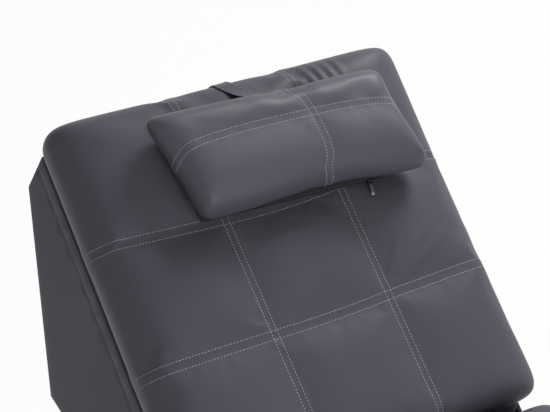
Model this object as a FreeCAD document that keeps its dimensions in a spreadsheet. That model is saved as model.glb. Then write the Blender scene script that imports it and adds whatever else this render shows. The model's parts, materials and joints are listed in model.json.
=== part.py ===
"""Massage lounge chair in millimetres: lifting back in an upholstered body, seat and leg section on legs.

Each section is built flat in a frame of its own: the hinge pivot at the origin, +Y away from the hinge along
the section and +Z out of the pad. It is then turned and moved to its place in the chair, which stands on
z = 0 with its head end towards +Y.
"""

import FreeCAD
import Part
import math
import os
import re
import Sketcher

Vector = FreeCAD.Vector
SIDES = (-1, 1)

# Independent sizes, each written once
SIZES = {
    # how far cutting tools and joined blocks run past a face
    "past": 1,
    # sewn covers
    "corner_nick": 0.293,
    "end_pull": 0.4,
    # quilted pads
    "pad_width": 616,
    "pad_seam_height": 92,
    "pad_crown": 12,
    "pad_edge_roll": 70,
    "pad_edge_drop": 8,
    "pad_side_height": 22,
    "pad_foot_inset": 5,
    "pad_corner": 50,
    "pad_side_pull": 4,
    "pad_gap": 0.3,
    "quilt_pitch": 200,
    "column_band": 10,
    "row_band": 14,
    # lengths and angles of the three sections
    "backrest_length": 640,
    "seat_length": 620,
    "legrest_length": 420,
    "backrest_angle": 37,
    "legrest_angle": 18,
    # how the sections meet at their hinges
    "pivot_to_pad": 32,
    "backrest_pad_setback": 20,
    "legrest_pad_setback": 6,
    "seat_pad_setback": 66,
    "seat_pad_overhang": 4,
    "crease_gap": 6,
    "crease_relief": 12,
    "legrest_mitre": 46,
    "legrest_mitre_start": 16,
    # upholstered bases
    "base_width": 580,
    "base_height": 150,
    "base_inset": 10,
    "base_wall": 10,
    "base_skin": 2,
    "base_round": 12,
    "deck_thickness": 12,
    "rail_thickness": 18,
    "dust_thickness": 2,
    "short_rail_play": 7.7,
    "short_rail_drop": 50,
    "short_rail_setback": 12,
    # upholstered body under the back
    "shell_play": 1,
    "shell_thickness": 8,
    "shell_drop": 18,
    "shell_start": 5,
    "shell_floor": 12,
    "shell_rear_play": 14,
    # hinges
    "arm_thickness": 4,
    "arm_play": 0.3,
    "arm_reach": 150,
    "hub_radius": 14,
    "hub_clearance": 1.5,
    "pocket_margin": 2,
    "slot_margin": 0.5,
    "pin_radius": 6,
    "pin_fit": 0.05,
    "pin_head_radius": 9,
    "pin_head_height": 2.2,
    "screw_first": 60,
    "screw_pitch": 40,
    "screw_radius": 2.2,
    "screw_clearance": 0.3,
    "screw_head_radius": 5,
    "screw_head_height": 2.5,
    "screw_bite": 14,
    # vibration motors
    "case_length": 76,
    "case_width": 52,
    "case_depth": 46,
    "case_wall": 2.5,
    "motor_radius": 12,
    "motor_length": 32,
    "motor_seat_gap": 0.1,
    "saddle_width": 20,
    "saddle_inset": 5,
    "shaft_radius": 2,
    "shaft_fit": 0.05,
    "shaft_grip": 19,
    "shaft_reach": 20,
    "weight_radius": 15,
    "weight_start": 6,
    "weight_length": 12,
    "shoulder_motor_at": 450,
    "lumbar_motor_at": 180,
    "thigh_motor_at": 330,
    "calf_motor_at": 220,
    # control box under the seat deck
    "box_length": 130,
    "box_width": 90,
    "box_depth": 36,
    "box_wall": 2.5,
    "box_across": 130,
    "box_along": 520,
    # control panel in the seat's side
    "panel_along": 230,
    "panel_height": -35,
    "panel_length": 124,
    "panel_width": 64,
    "panel_thickness": 3,
    "tub_length": 108,
    "tub_width": 48,
    "tub_depth": 24,
    "tub_wall": 2,
    "tub_clearance": 0.3,
    "board_thickness": 1.6,
    "board_depth": 14,
    "board_rest": 6,
    "switch_radius": 3,
    "switch_height": 5,
    "key_radius": 7,
    "key_clearance": 0.3,
    "key_proud": 3,
    "key_flange_radius": 9,
    "key_flange_height": 3,
    "key_depth": 6.5,
    "key_pitch": 21,
    # power inlet
    "inlet_along": 90,
    "inlet_height": -80,
    "inlet_radius": 5.5,
    "inlet_clearance": 0.1,
    "inlet_flange_radius": 9,
    "inlet_flange_height": 2,
    "inlet_bore": 2.75,
    "inlet_bore_depth": 10,
    "inlet_pin": 1,
    # steel underframe, legs and glides
    "tube_height": 50,
    "tube_width": 30,
    "tube_wall": 2,
    "tube_inset": 90,
    "tube_rear": 560,
    "tube_front": 14,
    "cap_thickness": 3,
    "cap_plug": 12,
    "cap_fit": 0.1,
    "cross_height": 30,
    "cross_width": 30,
    "cross_rear_at": 460,
    "cross_front_at": 130,
    "bolt_radius": 4,
    "bolt_clearance": 0.3,
    "bolt_head_radius": 7,
    "bolt_head_height": 5,
    "bolt_bite": 40,
    "leg_radius": 22,
    "leg_height": 125,
    "leg_wall": 2,
    "leg_cap": 6,
    "leg_rear_at": 520,
    "leg_front_at": 70,
    "stud_radius": 5,
    "stud_length": 14,
    "stud_clearance": 0.3,
    "glide_radius": 21,
    "glide_height": 8,
    "glide_spigot": 12,
    "glide_fit": 0.1,
    # head pillow
    "pillow_across": 33,
    "pillow_setback": 147,
    "pillow_angle": -3.5,
    "pillow_gap": 0.3,
    "pillow_length": 404,
    "pillow_slant": 0.22,
    "pillow_slope_run": 0.62,
    "pillow_slope_rise": 0.86,
    "pillow_overhang": 5,
    "pillow_overhang_height": 36,
    "pillow_depth": 176,
    "pillow_height": 84,
    "pillow_crown": 5,
    "pillow_end_roll": 22,
    "pillow_end_height": 34,
    "pillow_shoulder": 66,
    "pillow_foot_inset": 18,
    "pillow_seam_shift": 26,
    "pillow_band": 12,
    "pillow_corner": 26,
    "pillow_side_pull": 3,
    "pillow_back_height": 52,
    "zip_face_low": 6,
    "zip_face_high": 18,
    "zip_face_inset": 6,
    # zip
    "chain_start": -165,
    "chain_end": 142,
    "chain_thickness": 2.5,
    "chain_width": 6,
    "chain_height": 12,
    "slider_at": 117,
    "slider_length": 10,
    "slider_play": 0.3,
    "slider_wall": 1.4,
    "slider_plate": 2.7,
    "bail_radius": 0.9,
    "bail_fit": 0.08,
    "bail_reach": 2.5,
    "ear_thickness": 1.2,
    "pull_eye_radius": 2.3,
    "pull_eye_play": 0.4,
    "pull_width": 5,
    "pull_thickness": 1.6,
    "pull_length": 18,
    "pull_tab_start": 1.4,
    "pull_angle": 20,
    # strap and its patch behind the head end
    "strap_across": -4,
    "strap_width": 26,
    "strap_thickness": 2,
    "strap_clearance": 1,
    "strap_start_gap": 2,
    "strap_start_height": 44,
    "strap_tuck": 28.65,
    "strap_end": -72,
    "patch_thickness": 2,
    "patch_low": -68,
    "patch_high": -8,
    "patch_width": 36,
}

# Sizes that follow from those above
FORMULAS = {
    "pad_half": "pad_width / 2",
    "column": "quilt_pitch / 2",
    "pad_top": "pivot_to_pad + pad_seam_height",
    "pad_crest": "pad_top + pad_crown",
    "pad_edge": "pad_top - pad_edge_drop",
    "base_half": "base_width / 2",
    "base_inner": "base_half - base_wall",
    "base_top": "pivot_to_pad - pad_gap",
    "base_bottom": "base_top - base_height",
    "deck_top": "base_top - base_skin",
    "deck_bottom": "deck_top - deck_thickness",
    "dust_top": "base_bottom + dust_thickness",
    "seat_span": "seat_pad_setback + seat_length - seat_pad_overhang",
    "backrest_pad_end": "backrest_pad_setback + backrest_length",
    "legrest_pad_end": "legrest_pad_setback + legrest_length",
    "backrest_end": "backrest_pad_end - base_inset",
    "legrest_end": "legrest_pad_end - base_inset",
    "seat_front": "seat_span - crease_gap",
    "lean_run": "cos(backrest_angle)",
    "lean_rise": "sin(backrest_angle)",
    "shell_inner": "base_half + shell_play",
    "shell_outer": "shell_inner + shell_thickness",
    "shell_top": "pivot_to_pad - shell_drop",
    "shell_front": "shell_start * lean_run - shell_top * lean_rise",
    "shell_rear": "backrest_end * lean_run - base_bottom * lean_rise",
    "shell_rear_top": "backrest_end * lean_rise + base_bottom * lean_run - shell_rear_play",
    "hinge_inside": "crease_gap + crease_relief + base_wall",
    "seat_rail_face": "base_inner - rail_thickness",
    "seat_arm_face": "seat_rail_face - arm_thickness",
    "moving_rail_face": "seat_arm_face - arm_play",
    "moving_arm_face": "moving_rail_face - arm_thickness",
    "short_rail_half": "moving_arm_face - short_rail_play",
    "bore_radius": "pin_radius + pin_fit",
    "motor_axis": "deck_bottom - case_depth / 2",
    "tube_bottom": "base_bottom - tube_height",
    "tube_across": "base_half - tube_inset",
    "pivot_height": "glide_height + leg_height + tube_height - base_bottom",
    "bolt_at": "hinge_inside + rail_thickness / 2",
    "pillow_along": "backrest_pad_end - pillow_setback",
    "pillow_half": "pillow_length / 2",
    "pillow_back": "pillow_depth / 2",
    "pillow_front": "pillow_back + pillow_overhang",
    "zip_face": "zip_face_inset - pillow_depth / 2",
    "chain_face": "zip_face - chain_thickness",
    "slider_face": "chain_face - slider_play - slider_plate",
}

DOC = FreeCAD.newDocument("massage_lounge_chair")
DIMS = DOC.addObject("Spreadsheet::Sheet", "dims")
NODES = {}


def fill_sheet():
    """Write every size and formula to the sheet, one row each."""
    rows = [(name, str(number)) for name, number in SIZES.items()]
    rows += [(name, "=" + formula) for name, formula in FORMULAS.items()]
    for row, (name, content) in enumerate(rows, start=1):
        DIMS.set(f"A{row}", name)
        DIMS.set(f"B{row}", content)
        DIMS.setAlias(f"B{row}", name)
    DOC.recompute()


def bound(expression):
    """Point the size names in an expression at the sheet's cells."""
    return re.sub(r"[a-z][a-z_]+", lambda found: "dims." + found.group(), expression)


def value(expression):
    """Work out an expression as a plain number."""
    return float(DIMS.evalExpression(bound(expression)))


def on_side(side, low, high):
    """Mirror a span on X for the left side."""
    return (low, high) if side > 0 else (f"-({high})", f"-({low})")


def box(name, x, y, z):
    """Add a block between two expressions on each axis."""
    block = DOC.addObject("Part::Box", name)
    for size, axis, (low, high) in zip(("Length", "Width", "Height"), "xyz", (x, y, z)):
        block.setExpression(size, bound(f"({high}) - ({low})"))
        block.setExpression(f"Placement.Base.{axis}", bound(low))
    return block


def rod(name, axis, span, across, radius):
    """Add a cylinder along an axis, placed on the other two axes in their order."""
    turns = {
        "x": FreeCAD.Rotation(Vector(0, 1, 0), 90),
        "y": FreeCAD.Rotation(Vector(1, 0, 0), -90),
        "z": FreeCAD.Rotation(),
    }
    cylinder = DOC.addObject("Part::Cylinder", name)
    cylinder.Placement = FreeCAD.Placement(Vector(), turns[axis])
    cylinder.setExpression("Radius", bound(radius))
    cylinder.setExpression("Height", bound(f"({span[1]}) - ({span[0]})"))
    others = [letter for letter in "xyz" if letter != axis]
    for letter, place in ((axis, span[0]), (others[0], across[0]), (others[1], across[1])):
        cylinder.setExpression(f"Placement.Base.{letter}", bound(place))
    return cylinder


def pin_point(sketch, geometry, end, place):
    """Hold a sketch point at two expressions from the sketch's origin."""
    for kind, expression in zip(("DistanceX", "DistanceY"), place):
        index = sketch.addConstraint(Sketcher.Constraint(kind, -1, 1, geometry, end, value(expression)))
        sketch.setExpression(f"Constraints[{index}]", bound(expression))


def draw_outline(sketch, outline):
    """Draw a closed outline: (a, b) starts a line, (a, b, via_a, via_b) starts an arc to the next corner."""
    spots = [Vector(value(entry[0]), value(entry[1]), 0) for entry in outline]
    ends = []
    for index, entry in enumerate(outline):
        first = spots[index]
        last = spots[(index + 1) % len(spots)]
        if len(entry) == 2:
            geometry = sketch.addGeometry(Part.LineSegment(first, last))
            ends.append((geometry, 1, 2))
            continue
        via = Vector(value(entry[2]), value(entry[3]), 0)
        anticlockwise = (via - first).cross(last - via).z > 0
        arc = Part.Arc(first, via, last) if anticlockwise else Part.Arc(last, via, first)
        geometry = sketch.addGeometry(arc)
        ends.append((geometry, 1, 2) if anticlockwise else (geometry, 2, 1))
        mark = sketch.addGeometry(Part.Point(via), True)
        pin_point(sketch, mark, 1, entry[2:])
        sketch.addConstraint(Sketcher.Constraint("PointOnObject", mark, 1, geometry))
    for index, (geometry, start, end) in enumerate(ends):
        follower, follower_start, _ = ends[(index + 1) % len(ends)]
        sketch.addConstraint(Sketcher.Constraint("Coincident", geometry, end, follower, follower_start))
        pin_point(sketch, geometry, start, outline[index][:2])


def prism(name, plane, outline, span, slant=None):
    """Pad an outline on an origin plane between two expressions along the axis square to it.

    slant, for the XZ plane alone, shifts the outline along -X for each step along +Y.
    """
    body = DOC.addObject("PartDesign::Body", name)
    sketch = body.newObject("Sketcher::SketchObject", name + "_outline")
    support = next(feature for feature in body.Origin.OriginFeatures if feature.Role == plane)
    sketch.AttachmentSupport = [(support, "")]
    sketch.MapMode = "FlatFace"
    start = f"-({span[1]})" if plane == "XZ_Plane" else span[0]
    sketch.setExpression("AttachmentOffset.Base.z", bound(start))
    draw_outline(sketch, outline)
    pad = body.newObject("PartDesign::Pad", name + "_pad")
    pad.Profile = sketch
    pad.setExpression("Length", bound(f"({span[1]}) - ({span[0]})"))
    if slant:
        sketch.setExpression("AttachmentOffset.Base.x", bound(f"-{slant} * ({span[1]})"))
        pad.UseCustomVector = True
        pad.Direction = Vector(value(slant), -1, 0)
        pad.AlongSketchNormal = True
    return body


def cut(base, *tools):
    """Take each tool away from the base in turn."""
    for tool in tools:
        result = DOC.addObject("Part::Cut", tool.Name + "_cut")
        result.Base = base
        result.Tool = tool
        base = result
    return base


def fuse(*pieces):
    """Join pieces into one solid."""
    result = DOC.addObject("Part::MultiFuse", pieces[0].Name + "_joined")
    result.Shapes = list(pieces)
    return result


def common(*pieces):
    """Keep what all the pieces share."""
    result = DOC.addObject("Part::MultiCommon", pieces[0].Name + "_shared")
    result.Shapes = list(pieces)
    return result


def node(name, place, *pieces):
    """Name one sub-part and put it in its place in the chair."""
    group = DOC.addObject("Part::Compound", name)
    group.Label = name
    group.Links = list(pieces)
    group.Placement = place
    NODES[name] = group


def crowned(outline_start, stops, edge, top, crest):
    """Run crowned arcs and flat seam bands along a pad's top, from high to low.

    stops lists the far edge, then the two sides of each seam band in turn, then the near edge.
    """
    entries = [(*outline_start, *edge)]
    heights = ["pad_edge"] + [top] * (len(stops) - 2) + ["pad_edge"]
    for index, stop in enumerate(stops[:-1]):
        corner = (stop, heights[index])
        if index % 2 == 0:
            middle = f"(({stop}) + ({stops[index + 1]})) / 2"
            entries.append((*corner, middle, crest))
        else:
            entries.append(corner)
    return entries


def pad_solid(name, start, length, rows):
    """Make a quilted pad: crowned squares between sewn bands, rolled edges and drawn-in sides."""
    end = f"({start}) + {length}"
    middle = f"({start}) + {length} / 2"
    across = [("-(pad_half - pad_foot_inset)", "pivot_to_pad")]
    bands = ["pad_half - pad_edge_roll"]
    for column in ("column", "-column"):
        bands += [f"{column} + column_band / 2", f"{column} - column_band / 2"]
    bands.append("-(pad_half - pad_edge_roll)")
    side = ("pad_half", "pivot_to_pad + pad_side_height")
    across += crowned(("pad_half - pad_foot_inset", "pivot_to_pad"), bands, side, "pad_top", "pad_crest")
    across.append((bands[-1], "pad_edge", "-pad_half", side[1]))
    along = [(f"{start} + pad_foot_inset", "pivot_to_pad")]
    bands = [f"{end} - pad_edge_roll"]
    for row in rows:
        bands += [f"{middle} + {row} + row_band / 2", f"{middle} + {row} - row_band / 2"]
    bands.append(f"{start} + pad_edge_roll")
    foot = (f"{end} - pad_foot_inset", "pivot_to_pad")
    along += crowned(foot, bands, (end, side[1]), "pad_top", "pad_crest")
    along.append((bands[-1], "pad_edge", start, side[1]))
    slice_x = prism(name + "_across", "XZ_Plane", across, (f"{start} - past", f"{end} + past"))
    slice_y = prism(name + "_along", "YZ_Plane", along, ("-pad_half - past", "pad_half + past"))
    plan = drawn_in("pad_half", start, end, "pad_corner", "pad_side_pull")
    slice_z = prism(name + "_plan", "XY_Plane", plan, ("pivot_to_pad - past", "pad_crest + past"))
    return common(slice_x, slice_y, slice_z)


def drawn_in(half, low, high, corner, pull, slant="0"):
    """Outline of a sewn cover seen from above: round corners, sides drawn in, sheared by a slant."""
    nick = f"{corner} * corner_nick"
    middle = f"(({low}) + ({high})) / 2"
    outline = [
        (f"-({half} - {corner})", low, "0", f"{low} + {pull} * end_pull"),
        (f"{half} - {corner}", low, f"{half} - {nick}", f"{low} + {nick}"),
        (half, f"{low} + {corner}", f"{half} - {pull}", middle),
        (half, f"{high} - {corner}", f"{half} - {nick}", f"{high} - {nick}"),
        (f"{half} - {corner}", high, "0", f"{high} - {pull} * end_pull"),
        (f"-({half} - {corner})", high, f"-({half} - {nick})", f"{high} - {nick}"),
        (f"-({half})", f"{high} - {corner}", f"-({half} - {pull})", middle),
        (f"-({half})", f"{low} + {corner}", f"-({half} - {nick})", f"{low} + {nick}"),
    ]
    if slant == "0":
        return outline
    return [(f"{x} - {slant} * ({y})", y, f"{via_x} - {slant} * ({via_y})", via_y)
            for x, y, via_x, via_y in outline]


def rounded_base(name, outline, soft_ends):
    """Pad a base's side outline and round its top edges and the corners at its free ends."""
    body = prism(name, "YZ_Plane", outline, ("-base_half", "base_half"))
    DOC.recompute()
    half = value("base_half")
    top = value("base_top")
    ends = [value(end) for end in soft_ends]
    radius = value("base_round")
    chosen = []
    for index, edge in enumerate(body.Shape.Edges, start=1):
        middle = edge.CenterOfMass
        tangent = edge.tangentAt(edge.FirstParameter)
        on_flank = abs(abs(middle.x) - half) < 0.01
        on_top = abs(middle.z - top) < 0.01
        at_end = any(abs(middle.y - end) < 0.01 for end in ends)
        if on_flank and (on_top or (at_end and abs(tangent.z) > 0.99)) or (on_top and at_end):
            chosen.append((index, radius, radius))
    fillet = DOC.addObject("Part::Fillet", name + "_rounded")
    fillet.Base = body
    fillet.Edges = chosen
    return fillet


def hinge_reliefs(name, pivot, wall, arm):
    """Pockets in an end wall for the hinge hubs, and slots for the section's own arms."""
    tools = []
    for side in SIDES:
        mark = f"{name}_{'left' if side < 0 else 'right'}"
        hubs = on_side(side, "moving_arm_face - pin_head_height - pocket_margin",
                       "seat_rail_face + pin_head_height + pocket_margin")
        tools.append(rod(mark + "_pocket", "x", hubs, (pivot, "0"), "hub_radius + hub_clearance"))
        slot = on_side(side, f"{arm} - slot_margin", f"{arm} + arm_thickness + slot_margin")
        tools.append(box(mark + "_slot", slot, wall, ("-hub_radius - slot_margin", "hub_radius + slot_margin")))
    return tools


def hinge_arms(name, pivot, way, arm):
    """Flat hinge arms, left and right: a round hub on the pivot and a bar with three screw holes."""
    arms = []
    far = f"{pivot} + ({way} * arm_reach)"
    hub = f"{pivot} - ({way} * hub_radius)"
    low, high = ("-hub_radius", "hub_radius") if way > 0 else ("hub_radius", "-hub_radius")
    outline = [(far, low), (far, high), (pivot, high, hub, "0"), (pivot, low)]
    for side in SIDES:
        mark = f"{name}_{'left' if side < 0 else 'right'}"
        span = on_side(side, arm, f"{arm} + arm_thickness")
        through = on_side(side, f"{arm} - past", f"{arm} + arm_thickness + past")
        plate = prism(mark, "YZ_Plane", outline, span)
        holes = [rod(mark + "_bore", "x", through, (pivot, "0"), "bore_radius")]
        for place in screw_places(pivot, way):
            hole = rod(mark + "_hole", "x", through, (place, "0"), "screw_radius + screw_clearance")
            holes.append(hole)
        arms.append(cut(plate, *holes))
    return arms


def screw_places(pivot, way):
    """Where an arm's three screws sit along its section."""
    return [f"{pivot} + ({way} * (screw_first + {step} * screw_pitch))" for step in range(3)]


def hinge_screws(name, pivot, way, arm):
    """Pan-head screws that hold a pair of arms to the side rails."""
    screws = []
    for side in SIDES:
        for place in screw_places(pivot, way):
            mark = f"{name}_{'left' if side < 0 else 'right'}"
            centre = (place, "0")
            head = rod(mark + "_head", "x", on_side(side, f"{arm} - screw_head_height", arm), centre,
                       "screw_head_radius")
            shank_span = on_side(side, f"{arm} - past", f"{arm} + arm_thickness + screw_bite")
            screws.append(fuse(head, rod(mark + "_shank", "x", shank_span, centre, "screw_radius")))
    return screws


def hinge_pins(name, pivot):
    """Riveted pivot pins, left and right, with a head outside each arm."""
    pins = []
    for side in SIDES:
        mark = f"{name}_{'left' if side < 0 else 'right'}"
        centre = (pivot, "0")
        inner = "moving_arm_face - arm_play"
        outer = "seat_rail_face + arm_play"
        shank = rod(mark, "x", on_side(side, inner, outer), centre, "pin_radius")
        near = rod(mark + "_near", "x", on_side(side, f"{inner} - pin_head_height", inner), centre,
                   "pin_head_radius")
        far = rod(mark + "_far", "x", on_side(side, outer, f"{outer} + pin_head_height"), centre,
                  "pin_head_radius")
        pins.append(fuse(shank, near, far))
    return pins


def side_rails(name, face, y):
    """Upright timber boards along both sides of a base."""
    rails = {}
    for side in SIDES:
        mark = f"{name}_rail_{'left' if side < 0 else 'right'}"
        rails[side] = box(mark, on_side(side, face, "base_inner"), y, ("dust_top", "deck_bottom"))
    return rails


def motor_unit(name, at):
    """A vibration motor under the deck: open case with a saddle, motor can, shaft with a half disc."""
    half = "case_length / 2"
    wide = "case_width / 2"
    floor = "deck_bottom - case_depth"
    shell = box(name + "_case", (f"-{half}", half), (f"{at} - {wide}", f"{at} + {wide}"),
                (floor, "deck_bottom"))
    room = box(name + "_room", (f"-{half} + case_wall", f"{half} - case_wall"),
               (f"{at} - {wide} + case_wall", f"{at} + {wide} - case_wall"),
               (f"{floor} + case_wall", "deck_bottom + past"))
    saddle = box(name + "_saddle", ("saddle_inset - motor_length", "-saddle_inset"),
                 (f"{at} - saddle_width / 2", f"{at} + saddle_width / 2"), (f"{floor} + past", "motor_axis"))
    seat = rod(name + "_seat", "x", ("-motor_length - past", "1"), (at, "motor_axis"),
               "motor_radius + motor_seat_gap")
    case = cut(fuse(cut(shell, room), saddle), seat)
    can = cut(rod(name + "_can", "x", ("-motor_length", "0"), (at, "motor_axis"), "motor_radius"),
              rod(name + "_bore", "x", ("-shaft_grip - past", "1"), (at, "motor_axis"),
                  "shaft_radius + shaft_fit"))
    shaft = rod(name + "_shaft", "x", ("-shaft_grip", "shaft_reach"), (at, "motor_axis"), "shaft_radius")
    disc = rod(name + "_disc", "x", ("weight_start", "weight_start + weight_length"), (at, "motor_axis"),
               "weight_radius")
    disc.Angle = 180
    return case, can, fuse(shaft, disc)


def base_pieces(name, place, outer, hollow, soft_ends, reliefs, openings):
    """Upholstered base cover: an open-bottomed box with a thin top skin."""
    cover = rounded_base(name + "_shell", outer, soft_ends)
    room = prism(name + "_room", "YZ_Plane", hollow, ("-base_inner", "base_inner"))
    node(name + "_base_cover", place, cut(cover, room, *reliefs, *openings))


def nose_arc(pad_end):
    """The arc that rounds a pad's free end, as a circle in the YZ plane."""
    reach = value(pad_end)
    shoulder = Vector(0, reach - value("pad_edge_roll"), value("pad_edge"))
    tip = Vector(0, reach, value("pivot_to_pad + pad_side_height"))
    foot = Vector(0, reach - value("pad_foot_inset"), value("pivot_to_pad"))
    return Part.Arc(shoulder, tip, foot).toShape().Curve


def section_places():
    """Where the three sections and the pillow stand in the chair."""
    recline = value("backrest_angle")
    droop = value("legrest_angle")
    head_reach = value("shell_rear")
    nose = nose_arc("legrest_pad_end")
    foot_reach = value("seat_span") + nose.Radius
    foot_reach += nose.Center.y * math.cos(math.radians(droop))
    foot_reach += nose.Center.z * math.sin(math.radians(droop))
    pivot = Vector(0, (foot_reach - head_reach) / 2, value("pivot_height"))
    knee = pivot - Vector(0, value("seat_span"), 0)
    about_face = FreeCAD.Rotation(Vector(0, 0, 1), 180)
    lean = FreeCAD.Rotation(Vector(1, 0, 0), recline)
    hang = FreeCAD.Rotation(Vector(1, 0, 0), droop)
    backrest = FreeCAD.Placement(pivot, lean)
    seat = FreeCAD.Placement(pivot, about_face)
    legrest = FreeCAD.Placement(knee, hang.multiply(about_face))
    spot = Vector(value("pillow_across"), value("pillow_along"), value("pad_crest + pillow_gap"))
    skew = FreeCAD.Rotation(Vector(0, 0, 1), value("pillow_angle"))
    pillow = backrest.multiply(FreeCAD.Placement(spot, skew))
    return backrest, seat, legrest, pillow


def build_backrest(place):
    """Back section: pad, base, hinge arms and two motors."""
    outer = [("crease_gap + crease_relief", "base_top"), ("crease_gap", "0"),
             ("crease_gap", "base_bottom"), ("backrest_end", "base_bottom"), ("backrest_end", "base_top")]
    inside = "crease_gap + base_wall"
    hollow = [("hinge_inside", "deck_top"), (inside, "0"), (inside, "base_bottom - past"),
              ("backrest_end - base_wall", "base_bottom - past"), ("backrest_end - base_wall", "deck_top")]
    wall = ("crease_gap - past", "hinge_inside + past")
    reliefs = hinge_reliefs("backrest_hinge", "0", wall, "moving_arm_face")
    base_pieces("backrest", place, outer, hollow, ["backrest_end"], reliefs, [])
    rows = ("quilt_pitch / 2", "-quilt_pitch / 2")
    node("backrest_pad", place, pad_solid("backrest_quilt", "backrest_pad_setback", "backrest_length", rows))
    length = ("hinge_inside", "backrest_end - base_wall")
    rails = side_rails("backrest", "moving_rail_face", length)
    upright = ("dust_top", "deck_bottom")
    near = box("backrest_rail_near", ("-short_rail_half", "short_rail_half"),
               ("hinge_inside", "hinge_inside + rail_thickness"), upright)
    far = box("backrest_rail_far", ("-moving_rail_face", "moving_rail_face"),
              ("backrest_end - base_wall - rail_thickness", "backrest_end - base_wall"), upright)
    node("backrest_timber_frame", place, rails[-1], rails[1], near, far)
    node("backrest_deck", place, box("backrest_board", ("-base_inner", "base_inner"), length,
                                     ("deck_bottom", "deck_top")))
    cloth = box("backrest_cloth", ("-base_inner", "base_inner"), (inside, length[1]),
                ("base_bottom", "dust_top"))
    node("backrest_dust_cover", place, cloth)
    node("backrest_hinge_arms", place, *hinge_arms("backrest_arm", "0", 1, "moving_arm_face"))
    node("backrest_hinge_screws", place, *hinge_screws("backrest_screw", "0", 1, "moving_arm_face"))
    upper = motor_unit("shoulder", "shoulder_motor_at")
    lower = motor_unit("lumbar", "lumbar_motor_at")
    node("backrest_motor_cases", place, upper[0], lower[0])
    node("backrest_motors", place, upper[1], lower[1])
    node("shoulder_weight", place, upper[2])
    node("lumbar_weight", place, lower[2])


def build_strap(place):
    """Strap from the pillow's back edge over the head end, and the patch that holds its end."""
    nose = nose_arc("backrest_pad_end")
    centre = nose.Center
    radius = nose.Radius + value("strap_clearance")
    start = Vector(0, value("pillow_along + pillow_back + strap_start_gap"),
                   value("pad_crest + strap_start_height"))
    toward = centre - start
    lead = math.atan2(toward.z, toward.y) + math.asin(radius / toward.Length)
    touch = centre + Vector(0, -math.sin(lead), math.cos(lead)) * radius
    crest = centre + Vector(0, 1, 0.1).normalize() * radius
    tuck = math.radians(value("strap_tuck"))
    below = centre + Vector(0, math.cos(tuck), -math.sin(tuck)) * radius
    face = value("backrest_end + patch_thickness")
    edges = [
        Part.LineSegment(start, touch).toShape(),
        Part.Arc(touch, crest, below).toShape(),
        Part.LineSegment(below, Vector(0, face, value("base_top - base_round"))).toShape(),
        Part.LineSegment(Vector(0, face, value("base_top - base_round")),
                         Vector(0, face, value("strap_end"))).toShape(),
    ]
    band = Part.Wire(edges).makeOffset2D(value("strap_thickness"), 0, True, True)
    if band.BoundBox.YMax < centre.y + radius + value("strap_thickness") / 2:
        band = Part.Wire(edges).makeOffset2D(-value("strap_thickness"), 0, True, True)
    strip = band.extrude(Vector(value("strap_width"), 0, 0))
    strip.translate(Vector(value("strap_across - strap_width / 2"), 0, 0))
    strap = DOC.addObject("Part::Feature", "strap_strip")
    strap.Shape = strip
    node("pillow_strap", place, strap)
    half = "patch_width / 2"
    node("strap_patch", place, box("patch_block", (f"strap_across - {half}", f"strap_across + {half}"),
                                   ("backrest_end", "backrest_end + patch_thickness"),
                                   ("patch_low", "patch_high")))


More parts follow.
